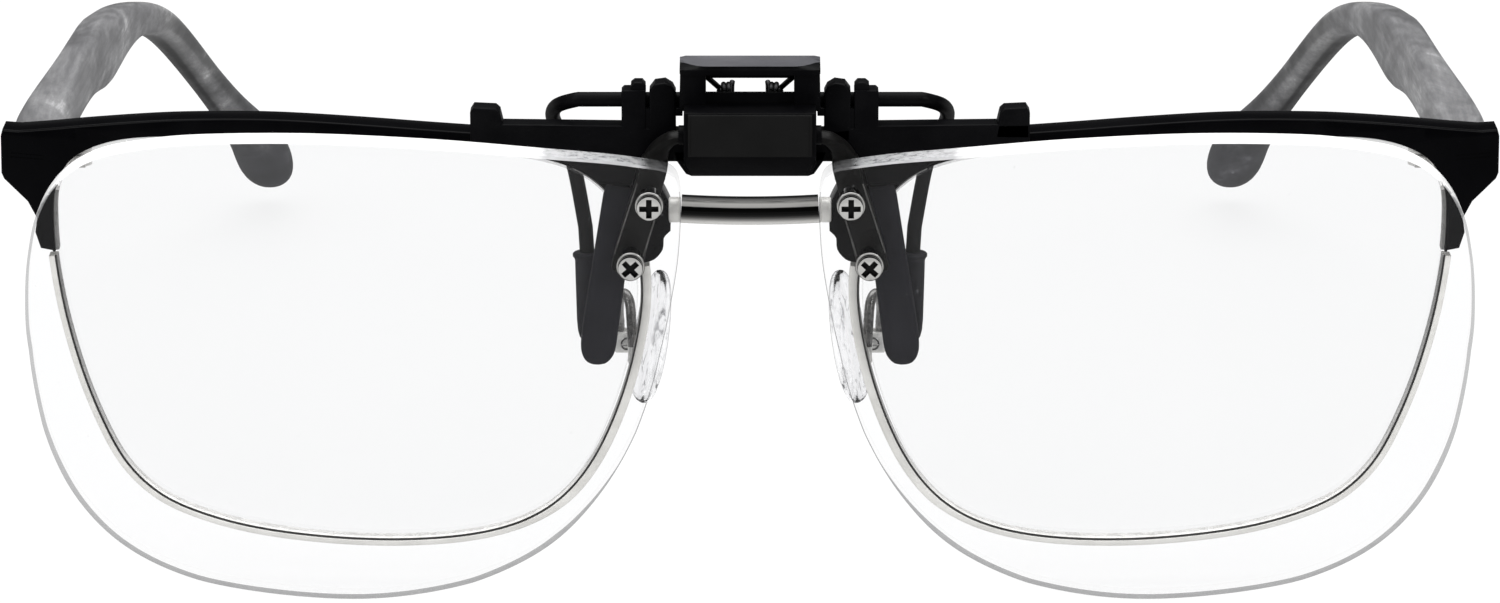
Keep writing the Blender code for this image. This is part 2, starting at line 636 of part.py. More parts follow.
def add_detent_spring():
    """Leaf spring behind the flip shaft, bowed forward."""
    path = [(x, DETENT_Y - DETENT_BOW * (1 - (x / DETENT_HALF) ** 2), DETENT_Z)
            for x in steps(-DETENT_HALF, DETENT_HALF, 8)]
    bm = run_loft(path, [(DETENT_H, DETENT_T)] * len(path), 8, 6.0, across=(0, 0, 1))
    add_part("flip_detent_spring", bm, "spring_steel")


def add_front_leg_cover(side, sign):
    path = [(sign * x, FRONT_LEG_Y, z) for x, z, _ in LEG_COVER]
    bm = run_loft(path, [(width, LEG_COVER_T) for _, _, width in LEG_COVER], 12, 5.0)
    socket_size = (LEG_CORE_W + 2 * GAP, LEG_CORE_T + 2 * GAP)
    bm = cut(bm, run_loft(mirrored(LEG_SOCKET, sign), [socket_size] * 2, 8, 6.0))
    add_part("front_leg_cover_" + side, bm, "leg_rubber")


# ---------------------------------------------------------------- rear jaw
REAR_FOOT, REAR_KNEE = (15.62, 3.42, -4.3), (15.9, 3.62, 4.4)   # ends of the straight leg
JAW_BEND = [(16.02, 3.72, 6.5), (17.2, 4.95, 12.9), (18.45, 5.2, 15.6), (19.05, 4.6, 17.0),
            (19.1, 3.1, 18.2), (18.65, 1.1, 19.35), (17.7, -0.75, 20.2), (16.5, JAW_Y, JAW_Z)]

# Jaw lever side profiles: (y, z)
LEVER_TOP = 23.9
LEVER_HUB = [(JAW_Y - 1.15, JAW_Z - 1.0), (JAW_Y + 1.2, JAW_Z - 1.3), (1.4, LEVER_TOP),
             (0.4, LEVER_TOP), (JAW_Y - 0.5, JAW_Z + 1.4), (JAW_Y - 1.15, JAW_Z + 1.0)]
# raised a hair so that its top is not in the plane of the hub tops
LEVER_CROSS = [(0.25, 22.3), (0.95, 22.3), (1.4, LEVER_TOP + 0.001), (0.4, LEVER_TOP + 0.001)]
LEVER_INNER_X, LEVER_OUTER_X = 4.5, 6.3

SLEEVE_R, SLEEVE_COLLAR_R = 1.25, 1.42

COIL_R = WIRE_R + 0.55
COIL_X, COIL_RUN = 2.75, 1.35           # outer end of the coil, and its length inwards
COIL_TURNS, COIL_SEGMENTS = 2.5, 10
SPRING_R = 0.17


def add_jaw_wire():
    leg = [REAR_FOOT, REAR_KNEE] + smooth(JAW_BEND, 2)
    run = mirrored(leg, -1) + leg[::-1]
    add_part("jaw_wire", wire(run, WIRE_R, 3), "clip_black", "rear_jaw")


def add_jaw_lever():
    left_hub, right_hub = [prism(LEVER_HUB, sign * LEVER_INNER_X, sign * LEVER_OUTER_X)
                           for _, sign in SIDES]
    cross = prism(LEVER_CROSS, -LEVER_OUTER_X, LEVER_OUTER_X)
    bm = cut(union(left_hub, cross, right_hub), cylinder_x(8, JAW_Y, JAW_Z, WIRE_R + 0.12))
    add_part("jaw_lever", bm, "clip_black", "rear_jaw")


def add_rear_leg_cover(side, sign):
    """Round sleeve with a collar at the top and a tapered closed end."""
    knee, foot = [Vector(p) for p in mirrored([REAR_KNEE, REAR_FOOT], sign)]
    down = (foot - knee).normalized()
    top, end = knee + down * 0.4, foot + down * 0.9
    path = [top, top + down * 0.6, top + down * 0.9,
            end - down * 1.2, end - down * 0.4, end]
    radii = [SLEEVE_COLLAR_R, SLEEVE_COLLAR_R, SLEEVE_R, SLEEVE_R, 0.95, 0.4]
    bm = run_loft(path, [(2 * r, 2 * r) for r in radii], 12, 2.0)
    bm = cut(bm, cylinder(knee - down * 1.0, foot + down * 0.25, WIRE_R + 0.2, segments=12))
    add_part("rear_leg_cover_" + side, bm, "leg_rubber", "rear_jaw")


def add_jaw_spring(side, sign):
    """Torsion spring round the jaw wire: front leg to the pinch plate, rear to the lever."""
    points = [(sign * 3.7, -4.3, 23.2)]
    count = int(COIL_TURNS * COIL_SEGMENTS)
    for k in range(count + 1):
        angle = radians(115) + 2 * pi * k / COIL_SEGMENTS
        points.append((sign * (COIL_X - COIL_RUN * k / count),
                       JAW_Y + COIL_R * cos(angle), JAW_Z + COIL_R * sin(angle)))
    points.append((sign * 1.3, -0.15, 21.95))
    add_part("jaw_spring_" + side, wire(points, SPRING_R), "spring_steel")


# ---------------------------------------------------------------- flip-up magnifiers
MAG_T = 3.05
SHAFT_HALF = 6.9
PLATE_FRONT, PLATE_BACK = -4.95, -3.5

# Edge of the magnifying lens: (x, z)
MAGNIFIER = [
    (69.43, 4.31), (69.6, 0.23), (69.45, -2.41), (68.98, -5.95), (68.13, -10.09),
    (66.89, -14.26), (64.8, -18.46), (61.13, -22.63), (55.74, -25.72), (48.37, -27.75),
    (38.73, -28.73), (31, -27.75), (24.53, -25.53), (19.24, -22.37), (15.41, -18.16),
    (12.76, -13.98), (10.85, -9.83), (9.33, -5.71), (8.26, -1.61), (7.47, 2.45),
    (6.83, 6.49), (6.58, 10.51), (6.66, 13.33), (7.4, 15.32), (10.38, 15.98),
    (14.2, 16.55), (20.08, 17.13), (26.51, 17.78), (33.16, 18.27), (42.66, 18.67),
    (52.19, 18.48), (57.01, 18.01), (61.62, 17.09), (64.61, 15.61), (66.75, 13.5),
    (68.25, 10.68), (69, 7.38)]

# Carrier plate behind the magnifier (x, z), and the neck to it from the shaft (x, y, z)
PLATE = [(7.8, 15.7), (8.35, 12.9), (9.15, 9.9), (9.95, 6.4), (10.35, 5.2), (11.0, 4.4),
         (12.0, 4.1), (12.9, 4.5), (13.3, 5.4), (10.6, 14.6), (10.2, 15.9)]
NECK = [(6.75, FLIP_Y, FLIP_Z), (7.7, -6.0, 18.25), (8.45, -5.2, 17.4),
        (8.9, -4.45, 16.3), (9.15, -4.22, 15.0), (9.3, -4.22, 13.6)]

WASHER_R, WASHER_BORE_R, WASHER_T = 1.38, 0.85, 0.25
WASHER_OFF, HEAD_OFF = 0.32, 0.4        # washer back before the lens, head before that
HEAD_FRONT_R, HEAD_BACK_R, HEAD_T = 0.85, 1.18, 0.85
SHANK_R, SHANK_END = 0.6, -3.1
SLOT_HALF_L, SLOT_HALF_D, SLOT_HALF_W = 0.75, 0.5, 0.17     # cross slot in the head


def drill_screw_holes(bm, sign, front):
    for _, x, z, _ in LENS_SCREWS:
        bm = cut(bm, cylinder_y(sign * x, (front, -2), z, LENS_SCREW_HOLE_R))
    return bm


def add_lens_carrier():
    bm = cylinder_x(SHAFT_HALF, FLIP_Y, FLIP_Z, FLIP_R)
    path = smooth(NECK, 2)
    sizes = [(1.5, height) for height in steps(1.9, 2.4, len(path) - 1)]
    for _, sign in SIDES:
        neck = run_loft(mirrored(path, sign), sizes, 10, 4.0, across=(0, 1, 0.45))
        plate = drill_screw_holes(slab(PLATE, PLATE_FRONT, PLATE_BACK, sign), sign, -7)
        bm = union(bm, neck, plate)
    add_part("lens_carrier", bm, "clip_black", "lens_flip")


def add_magnifier(side, sign):
    bm = slab(smooth(MAGNIFIER, 2, closed=True), 0.0, MAG_T, sign,
              xs=steps(15, 62, 6), zs=steps(-21, 10, 4))
    bm = drill_screw_holes(bend(bm, magnifier_surface), sign, -12)
    add_part("magnifier_lens_" + side, bm, "magnifier_clear", "lens_flip")


def add_lens_washer(name, x, back, z):
    bm = cut(cylinder_y(x, (back - WASHER_T, back), z, WASHER_R, segments=20),
             cylinder_y(x, around(back, 1), z, WASHER_BORE_R))
    add_part("lens_washer_" + name, bm, "screw_chrome", "lens_flip")


def add_lens_screw(name, x, back, z, slot_turn):
    """Cross-slotted screw; back is the depth of the back of its head."""
    front = back - HEAD_T
    head = cylinder_y(x, (front, back), z, HEAD_FRONT_R, HEAD_BACK_R, segments=20)
    place = Matrix.Translation((x, front, z)) @ Matrix.Rotation(radians(slot_turn), 4, 'Y')
    for half_x, half_z in ((SLOT_HALF_L, SLOT_HALF_W), (SLOT_HALF_W, SLOT_HALF_L)):
        slot = box(around(0, half_x), around(0, SLOT_HALF_D), around(0, half_z))
        bmesh.ops.transform(slot, matrix=place, verts=slot.verts)
        head = cut(head, slot)
    shank = cylinder_y(x, (back - 0.2, SHANK_END), z, SHANK_R)
    add_part("lens_screw_" + name, union(head, shank), "screw_chrome", "lens_flip")


def add_lens_fixings(side, sign):
    for level, x, z, slot_turn in LENS_SCREWS:
        name = level + "_" + side
        washer_back = magnifier_surface(x, z) - WASHER_OFF
        add_lens_washer(name, sign * x, washer_back, z)
        add_lens_screw(name, sign * x, washer_back - HEAD_OFF, z, slot_turn * sign)


# ---------------------------------------------------------------- build
for add in (add_bridge, add_clip_body, add_badge, add_detent_spring, add_jaw_wire,
            add_jaw_lever, add_lens_carrier):
    add()

for add in (add_brow, add_rim, add_spectacle_lens, add_bridge_collar,
            add_nose_pad_arm, add_nose_pad, add_nose_pad_screw,
            add_front_hinge_leaf, add_temple_hinge_leaf, add_hinge_screw, add_temple,
            add_front_leg_cover, add_rear_leg_cover, add_jaw_spring,
            add_magnifier, add_lens_fixings):
    for side, sign in SIDES:
        add(side, sign)
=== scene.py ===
"""Spectacles with a clip that carries a pair of flip-up magnifying lenses.

Pieces are modelled in millimetres in a front frame: x runs across with 0 at the bridge and
"left" on -x, y runs from the front (-) back along the temples (+), z is up. piece() moves
them to the CAD's place, in metres.
"""
import bpy
import bmesh
from math import sin, cos, pi, radians, hypot
from mathutils import Vector, Matrix


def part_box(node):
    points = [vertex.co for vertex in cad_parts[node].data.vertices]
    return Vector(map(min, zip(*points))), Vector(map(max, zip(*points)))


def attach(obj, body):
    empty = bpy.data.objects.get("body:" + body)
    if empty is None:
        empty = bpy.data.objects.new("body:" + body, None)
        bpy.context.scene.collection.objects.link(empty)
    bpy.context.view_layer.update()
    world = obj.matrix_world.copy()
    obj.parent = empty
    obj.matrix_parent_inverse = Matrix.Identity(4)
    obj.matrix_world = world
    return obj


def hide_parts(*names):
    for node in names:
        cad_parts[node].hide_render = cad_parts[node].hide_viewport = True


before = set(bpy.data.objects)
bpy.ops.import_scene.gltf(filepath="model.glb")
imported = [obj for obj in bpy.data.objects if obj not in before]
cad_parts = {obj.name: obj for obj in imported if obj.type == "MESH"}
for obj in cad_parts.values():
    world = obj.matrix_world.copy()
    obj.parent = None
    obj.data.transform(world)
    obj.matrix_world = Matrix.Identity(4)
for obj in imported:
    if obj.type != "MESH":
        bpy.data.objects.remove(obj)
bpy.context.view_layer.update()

# The blank plate's CAD box, in metres, says where the front frame sits.
MM = 0.001
PLATE_Y, PLATE_Z = -8.475, 18.9      # the plate's centre in the front frame
plate_low, plate_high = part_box("badge_plate")
FRAME_Y = (plate_low.y + plate_high.y) * 500 - PLATE_Y
FRAME_Z = (plate_low.z + plate_high.z) * 500 - PLATE_Z

SIDES = (("left", -1), ("right", 1))
FRONT, JAW, FLIP = "spectacle_front", "rear_jaw", "flip_carrier"    # moving bodies

# Sizes and places, mm
BROW_FRONT, BROW_BACK = 1.6, 1.8     # brow depth either side of the lens curve
END_BACK = 12.35                     # y of the back of the brow's end piece
BRIDGE_R, BRIDGE_Y, BRIDGE_Z = 1.38, 0.6, 9.2
PAD_X, PAD_Y, PAD_Z = 12.1, 7.9, -6.3            # nose pad screw
BAR_FRONT, BAR_BACK = -3.3, -0.9                 # clip bar
LEG_Y = -1.55                                    # clip's front legs
FLIP_Y, FLIP_Z, FLIP_R = -6.2, 18.4, 1.0         # flip-up pivot
JAW_Y, JAW_Z, WIRE_R = -1.6, 20.7, 0.72          # jaw pivot and its wire
MAGNIFIER_T = 3.05
HOLE_R = 0.9                                     # magnifier screw holes
# Magnifier screws: name, x, z, turn of the cross slot in degrees
SCREWS = (("upper", 9.61, 12.08, 0), ("lower", 11.41, 6.07, 42))

# Outlines of the +x side, (x, z)
APERTURE = [
    (67.72, 3.48), (67.85, 6.8), (67.75, 9.6), (66.95, 11.9), (65.3, 13.75), (62.0, 15.2),
    (58.2, 15.85), (53.3, 16.1), (48, 16.2), (42, 16.15), (36, 15.95), (30, 15.6),
    (24, 15.1), (19.5, 14.3), (16, 12.9), (13.4, 10.6), (11.8, 7.6), (10.82, 3.81),
    (10.57, -0.03), (11.18, -4.17), (12.14, -8.21), (13.55, -12.24), (15.42, -16.29),
    (18.24, -20.08), (22.04, -22.6), (26.83, -23.97), (32.58, -24.53), (38.41, -24.58),
    (44.24, -24.23), (50.08, -23.47), (55.43, -21.96), (58.73, -20.2), (61.52, -17.21),
    (63.45, -13.15), (64.96, -9.22), (66.12, -5.2), (67.02, -1.28)]
BROW_END = [(69.2, 4.15), (69.72, 5.7), (69.5, 7.1), (70.4, 8.7), (72.75, 10.75),
            (73.0, 11.3), (73.0, 14.9), (72.8, 15.6)]
BROW_TOP = [(71.2, 15.62), (67.6, 16.15), (64.1, 16.7), (58.2, 17.45), (53.2, 17.85),
            (46.0, 18.1), (37.6, 17.78), (31.8, 17.38), (25.0, 16.88), (19.0, 16.2),
            (14.5, 15.1), (11.3, 13.4), (9.1, 11.8), (8.2, 10.5), (7.75, 9.5)]
BROW_TONGUE = [(7.7, 6.9), (8.35, 6.2), (8.45, 5.1), (9.25, 4.15), (10.3, 3.85)]
MAGNIFIER = [
    (69.43, 4.31), (69.6, 0.23), (69.45, -2.41), (68.98, -5.95), (68.13, -10.09),
    (66.89, -14.26), (64.8, -18.46), (61.13, -22.63), (55.74, -25.72), (48.37, -27.75),
    (38.73, -28.73), (31, -27.75), (24.53, -25.53), (19.24, -22.37), (15.41, -18.16),
    (12.76, -13.98), (10.85, -9.83), (9.33, -5.71), (8.26, -1.61), (7.47, 2.45),
    (6.83, 6.49), (6.58, 10.51), (6.66, 13.33), (7.4, 15.32), (10.38, 15.98),
    (14.2, 16.55), (20.08, 17.13), (26.51, 17.78), (33.16, 18.27), (42.66, 18.67),
    (52.19, 18.48), (57.01, 18.01), (61.62, 17.09), (64.61, 15.61), (66.75, 13.5),
    (68.25, 10.68), (69, 7.38)]
CARRIER_PLATE = [
    (7.8, 15.7), (8.35, 12.9), (9.15, 9.9), (9.95, 6.4), (10.35, 5.2), (11.0, 4.4),
    (12.0, 4.1), (12.9, 4.5), (13.3, 5.4), (10.6, 14.6), (10.2, 15.9)]
# Temple stations: x, y, z, width, height
TEMPLE = [
    (70.6, 13.45, 12.0, 4.3, 3.8), (70.1, 18.0, 12.8, 4.8, 4.8),
    (68.75, 31.0, 13.9, 3.4, 5.8), (68.75, 43.0, 12.75, 3.4, 6.3),
    (68.6, 52.0, 11.65, 3.7, 7.2), (68.4, 58.0, 11.1, 3.8, 6.6),
    (68.2, 68.0, 10.15, 3.9, 5.2), (67.8, 78.0, 8.75, 3.9, 4.0),
    (67.0, 88.0, 6.6, 3.9, 3.5), (65.9, 97.0, 3.4, 3.8, 3.5),
    (64.4, 105.0, -1.2, 3.6, 3.7), (62.4, 113.0, -7.0, 3.5, 3.9),
    (60.3, 120.5, -12.6, 4.2, 4.0), (58.2, 127.5, -17.7, 6.2, 4.1),
    (57.7, 133.5, -21.8, 6.6, 3.9), (57.5, 136.9, -24.2, 5.8, 3.5),
    (57.5, 138.6, -25.5, 4.2, 2.7), (57.5, 139.4, -26.15, 2.4, 1.8)]


def lens_surface(x, z):
    """Depth (y) of the spectacle lens curve."""
    out = abs(x) - 37.0
    return out * out / 260.0 + 0.05 * out + (z + 4.0) ** 2 / 320.0


def magnifier_surface(x, z):
    """Depth (y) of the magnifier's front face, leaning forward towards the top."""
    out = abs(x) - 35.0
    return -10.0 + (out * out + (z + 4.0) ** 2) / 700.0 - 0.08 * (z - 16.0)


# ------------------------------------------------------------------ shader graph
WHITE = (1.0, 1.0, 1.0, 1.0)
NOISE_SPAN = (0.3, 0.7)              # where most of a noise texture's values lie
# Distances from the centre line, metres
NOSE_SPAN = (0.0205, 0.0085)         # lens edge turns grey from the first to the second


def rgba(tone):
    """Opaque colour from a grey level or an (r, g, b)."""
    return (*tone, 1.0) if isinstance(tone, tuple) else (tone, tone, tone, 1.0)


class Graph:
    """Node tree of a material or world. An input takes a value or an output socket."""

    def __init__(self, owner):
        owner.use_nodes = True
        self.tree = owner.node_tree

    def feed(self, socket, value):
        if isinstance(value, bpy.types.NodeSocket):
            self.tree.links.new(value, socket)
        else:
            socket.default_value = value

    def put(self, node, **inputs):
        for name, value in inputs.items():
            self.feed(node.inputs[name.replace("_", " ")], value)

    def node(self, kind, *ordered, **named):
        """New node, its inputs given in socket order or by name."""
        node = self.tree.nodes.new("ShaderNode" + kind)
        for socket, value in zip(node.inputs, ordered):
            self.feed(socket, value)
        self.put(node, **named)
        return node

    def output(self, shader):
        self.put(self.tree.nodes["Material Output"], Surface=shader)

    def coords(self, stretch=(1, 1, 1), turn=(0, 0, 0)):
        place = self.node("TexCoord").outputs["Object"]
        return self.node("Mapping", Vector=place, Scale=stretch, Rotation=turn).outputs["Vector"]

    def noise(self, vector, scale, detail=3.0, roughness=0.55, distortion=0.0):
        return self.node("TexNoise", Vector=vector, Scale=scale, Detail=detail,
                         Roughness=roughness, Distortion=distortion).outputs["Fac"]

    def ramp(self, factor, stops):
        """Colour ramp through (position, grey or rgb) stops."""
        node = self.node("ValToRGB", factor)
        elements = node.color_ramp.elements
        while len(elements) < len(stops):
            elements.new(0.5)
        for element, (position, tone) in zip(elements, stops):
            element.position = position
            element.color = rgba(tone)
        return node.outputs["Color"]

    def remap(self, value, to=(0.0, 1.0), span=NOISE_SPAN):
        """Carry the span of values over to another range."""
        return self.node("MapRange", Value=value, From_Min=span[0], From_Max=span[1],
                         To_Min=to[0], To_Max=to[1]).outputs["Result"]

    def math(self, operation, first, second):
        node = self.node("Math", first, second)
        node.operation = operation
        return node.outputs["Value"]

    def times(self, first, second):
        return self.math('MULTIPLY', first, second)

    def plus(self, first, second):
        return self.math('ADD', first, second)

    def blend(self, factor, first, second):
        return self.node("MixRGB", factor, first, second).outputs["Color"]

    def tint(self, first, second, amount=1.0):
        """Multiply two colours."""
        node = self.node("MixRGB", amount, first, second)
        node.blend_type = 'MULTIPLY'
        return node.outputs["Color"]

    def mix_shader(self, factor, first, second):
        return self.node("MixShader", factor, first, second).outputs[0]

    def split(self, vector):
        return self.node("SeparateXYZ", Vector=vector).outputs

    def normal_z(self):
        return self.split(self.node("NewGeometry").outputs["Normal"])["Z"]

    def facing(self):
        """0 where a face looks at the viewer, 1 at grazing angles."""
        return self.node("LayerWeight", Blend=0.5).outputs["Facing"]

    def from_centre(self):
        """Distance from the centre line."""
        place = self.split(self.node("TexCoord").outputs["Object"])
        return self.math('ABSOLUTE', place["X"], 0.0)

    def outside(self, keep):
        """1 where a wall is seen from outside the lens, keep where it is seen through it."""
        back = self.node("NewGeometry").outputs["Backfacing"]
        return self.remap(back, span=(0.0, 1.0), to=(1.0, keep))

    def mirror_ray(self):
        """1 for a reflected ray only, not for one that went through clear material."""
        path = self.node("LightPath").outputs
        solid = self.math('SUBTRACT', 1.0, path["Is Transmission Ray"])
        return self.times(path["Is Glossy Ray"], solid)

    def bump(self, bsdf, height, strength, distance=0.00005):
        bump = self.node("Bump", Strength=strength, Distance=distance, Height=height)
        self.put(bsdf, Normal=bump.outputs["Normal"])


def new_material(name):
    material = bpy.data.materials.new(name)
    graph = Graph(material)
    return material, graph, graph.tree.nodes["Principled BSDF"]


# ------------------------------------------------------------------ materials
def finish(name, tones, roughness, metal=0.0, specular=0.5, patches=160.0, grain=4000.0,
           bump=0.1, stretch=(1, 1, 1)):
    """Moulded or metal finish: tones and roughness vary in soft patches, with a fine grain."""
    material, graph, bsdf = new_material(name)
    place = graph.coords(stretch)
    patch = graph.noise(place, scale=patches, detail=4.0, roughness=0.6)
    graph.put(bsdf,
              Base_Color=graph.ramp(patch, [(0.32, tones[0]), (0.68, tones[1])]),
              Roughness=graph.remap(patch, to=roughness),
              Metallic=metal, Specular_IOR_Level=specular)
    if bump:
        graph.bump(bsdf, graph.noise(place, scale=grain, detail=2.0), bump)
    return material


def paint_lip_shade_and_glow(material):
    """Painted shade on the faces that don't look up, and a painted glow on those that do."""
    graph = Graph(material)
    bsdf = graph.tree.nodes["Principled BSDF"]
    up = graph.remap(graph.normal_z(), span=(0.15, 0.75))
    plain = bsdf.inputs["Base Color"].links[0].from_socket
    # painted shade darkens the faces that don't look up; an emission makes the up-facing ones
    # glow as painted light
    graph.put(bsdf,
              Base_Color=graph.tint(plain, graph.ramp(up, [(0.0, 0.26), (1.0, 1.0)])),
              Emission_Color=(0.86, 0.85, 0.83, 1.0),
              Emission_Strength=graph.times(up, 0.26))


def make_screw_head(name):
    """Nickel-plated head with painted reflections by view angle: light flat, painted dark shade
    on the shoulder, light rim.
    """
    material, graph, bsdf = new_material(name)
    facing = graph.facing()
    patch = graph.noise(graph.coords(), scale=1100.0)
    shade = graph.plus(facing, graph.remap(patch, to=(-0.05, 0.05)))
    # painted light: tones follow how squarely a face looks at the viewer, not the metal's own
    # colour
    tones = [(0.0, (0.68, 0.675, 0.655)), (0.15, (0.60, 0.595, 0.58)),
             (0.24, (0.05, 0.049, 0.047)), (0.50, 0.012), (0.80, 0.016),
             (0.93, (0.35, 0.345, 0.335)), (1.0, (0.50, 0.49, 0.48))]
    graph.put(bsdf, Base_Color=graph.ramp(shade, tones),
              Roughness=graph.remap(patch, to=(0.10, 0.25)), Metallic=0.55)
    return material


def make_chrome(name):
    """Mirror plate with a painted reflection of a studio: bright above and below, dark across.
    """
    material, graph, bsdf = new_material(name)
    up = graph.remap(graph.normal_z(), span=(-1.0, 1.0))
    # normal from straight down (0) to straight up (1), grey level of the painted reflection
    tones = [(0.0, 0.80), (0.162, 0.72), (0.257, 0.30), (0.343, 0.085), (0.42, 0.015),
             (0.50, 0.004), (0.705, 0.002), (0.735, 0.60), (0.834, 0.66), (0.885, 0.22),
             (0.94, 0.05), (0.984, 0.008), (1.0, 0.006)]
    room = graph.ramp(up, [(at, (grey, grey * 0.985, grey * 0.955)) for at, grey in tones])
    smear = graph.noise(graph.coords(stretch=(0.25, 1, 1)), scale=500.0, detail=4.0)
    graph.put(bsdf,
              Base_Color=graph.tint(room, graph.ramp(smear, [(0.3, 0.75), (0.6, 1.0)]),
                                    amount=0.2),
              Roughness=graph.remap(smear, to=(0.05, 0.14)),
              Metallic=0.25, Specular_IOR_Level=0.15)
    return material


def make_clear(name, tint, veil, ior, roughness=0.02):
    """Polished clear sheet: see-through, a Fresnel reflection, a smudged white film painted in
    as a faint reflected veil, and a trace of dust.
    """
    material, graph, bsdf = new_material(name)
    graph.tree.nodes.remove(bsdf)
    clear = graph.node("BsdfTransparent", Color=rgba(tint))
    gloss = graph.node("BsdfGlossy", Color=WHITE, Roughness=roughness)
    head_on = ((ior - 1.0) / (ior + 1.0)) ** 2
    grazing = graph.math('POWER', graph.facing(), 5.0)
    reflect = graph.plus(head_on, graph.times(0.8 - head_on, grazing))
    sheet = graph.mix_shader(reflect, clear.outputs[0], gloss.outputs[0])

    place = graph.coords()
    smear = graph.noise(place, scale=60.0, detail=5.0, roughness=0.65, distortion=0.6)
    specks = graph.noise(place, scale=1400.0, detail=1.0)
    # painted reflection: a faint smudged white film stands in for the veil the surface reflects;
    # the specks below are dust
    painted_veil = graph.remap(smear, span=(0.35, 0.75), to=(veil * 0.5, veil * 1.4))
    dots = graph.remap(specks, span=(0.80, 0.86), to=(0.0, 0.10))
    dust = graph.node("BsdfDiffuse", Color=(0.9, 0.9, 0.92, 1.0))
    graph.output(graph.mix_shader(graph.plus(painted_veil, dots), sheet, dust.outputs[0]))
    graph.put(gloss, Roughness=graph.remap(smear, to=(roughness, roughness * 4)))
    return material


def make_ground_edge(name):
    """Ground lens edge: frosted, greyer and coarser towards the nose; clear from inside."""
    material, graph, bsdf = new_material(name)
    speck = graph.noise(graph.coords(), scale=1100.0, detail=6.0, roughness=0.78)
    nose = graph.remap(graph.from_centre(), span=NOSE_SPAN)
    grey = graph.ramp(nose, [(0.0, (0.88, 0.88, 0.875)), (0.10, (0.52, 0.52, 0.53)),
                             (0.6, (0.42, 0.425, 0.43)), (0.9, (0.30, 0.305, 0.31))])
    pits = graph.ramp(speck, [(0.36, (0.06, 0.06, 0.065)), (0.44, (0.55, 0.55, 0.56)),
                              (0.53, 1.0)])
    pitted = graph.remap(nose, span=(0.0, 0.35), to=(0.15, 1.0))
    graph.put(bsdf, Base_Color=graph.tint(grey, pits, amount=pitted),
              Roughness=0.5, Specular_IOR_Level=0.3)
    graph.bump(bsdf, speck, 0.5, distance=0.0001)

    # painted top light: the frost covers most where the edge looks up, least close to the centre
    # line
    cover = graph.times(graph.remap(graph.normal_z(), span=(0.0, 0.85), to=(0.16, 0.95)),
                        graph.outside(keep=0.02))
    cover = graph.times(cover, graph.remap(graph.from_centre(), span=(0.0096, 0.0108),
                                           to=(0.22, 1.0)))
    clear = graph.node("BsdfTransparent", Color=rgba(0.97))
    graph.output(graph.mix_shader(cover, clear.outputs[0], bsdf.outputs[0]))
    return material


def make_edge_line(name, colour, cover):
    """Narrow chamfer round a lens: grey below, fainter down the sides, with a painted highlight
    on top.
    """
    material, graph, bsdf = new_material(name)
    patch = graph.noise(graph.coords(), scale=900.0, detail=4.0)
    dark = tuple(channel * 0.62 for channel in colour)
    up = graph.remap(graph.normal_z(), span=(0.10, 0.22))
    nose = graph.remap(graph.from_centre(), span=NOSE_SPAN)
    # painted light: a bright tone where the chamfer looks up (greyer towards the nose), a darker
    # grey with random patches below
    upper = graph.ramp(nose, [(0.0, 0.88), (0.1, (0.56, 0.56, 0.57)), (0.9, (0.42, 0.42, 0.43))])
    lower = graph.ramp(patch, [(0.3, dark), (0.7, colour)])
    graph.put(bsdf, Base_Color=graph.blend(up, lower, upper),
              Roughness=0.4, Specular_IOR_Level=0.25)

    down = graph.remap(graph.normal_z(), span=(-0.30, -0.05), to=(1.0, 0.72))
    part = graph.times(graph.remap(patch, to=(cover - 0.15, cover + 0.1)), down)
    # the up-facing part is covered more, for the painted highlight
    part = graph.plus(part, graph.times(up, 0.25))
    # the top edge vanishes close to the centre line
    gone = graph.times(up, graph.remap(graph.from_centre(), span=(0.0094, 0.0106),
                                       to=(0.80, 0.0)))
    part = graph.times(part, graph.math('SUBTRACT', 1.0, gone))
    clear = graph.node("BsdfTransparent", Color=rgba(0.96))
    graph.output(graph.mix_shader(graph.times(part, graph.outside(keep=0.03)),
                                  clear.outputs[0], bsdf.outputs[0]))
    return material


def make_silicone(name):
    """Clear silicone with dark streaks and a darker outline painted as shade at grazing angles.
    """
    material, graph, bsdf = new_material(name)
    patch = graph.noise(graph.coords(), scale=350.0)
    streak = graph.noise(graph.coords(stretch=(1.0, 1.0, 0.35), turn=(0, 0.2, 0)),
                         scale=900.0, detail=4.0, roughness=0.7, distortion=1.5)
    tone = graph.ramp(streak, [(0.34, (0.16, 0.16, 0.17)), (0.41, (0.80, 0.80, 0.81)),
                               (0.47, (0.99, 0.99, 1.0))])
    # painted shade: darker where the surface turns away from the viewer
    rim = graph.ramp(graph.facing(), [(0.0, 1.0), (0.55, 0.97), (0.80, (0.60, 0.60, 0.61)),
                                      (0.95, (0.22, 0.22, 0.23))])
    graph.put(bsdf, Base_Color=graph.tint(tone, rim),
              Roughness=graph.remap(patch, to=(0.04, 0.12)),
              Transmission_Weight=1.0, IOR=1.41)
    return material


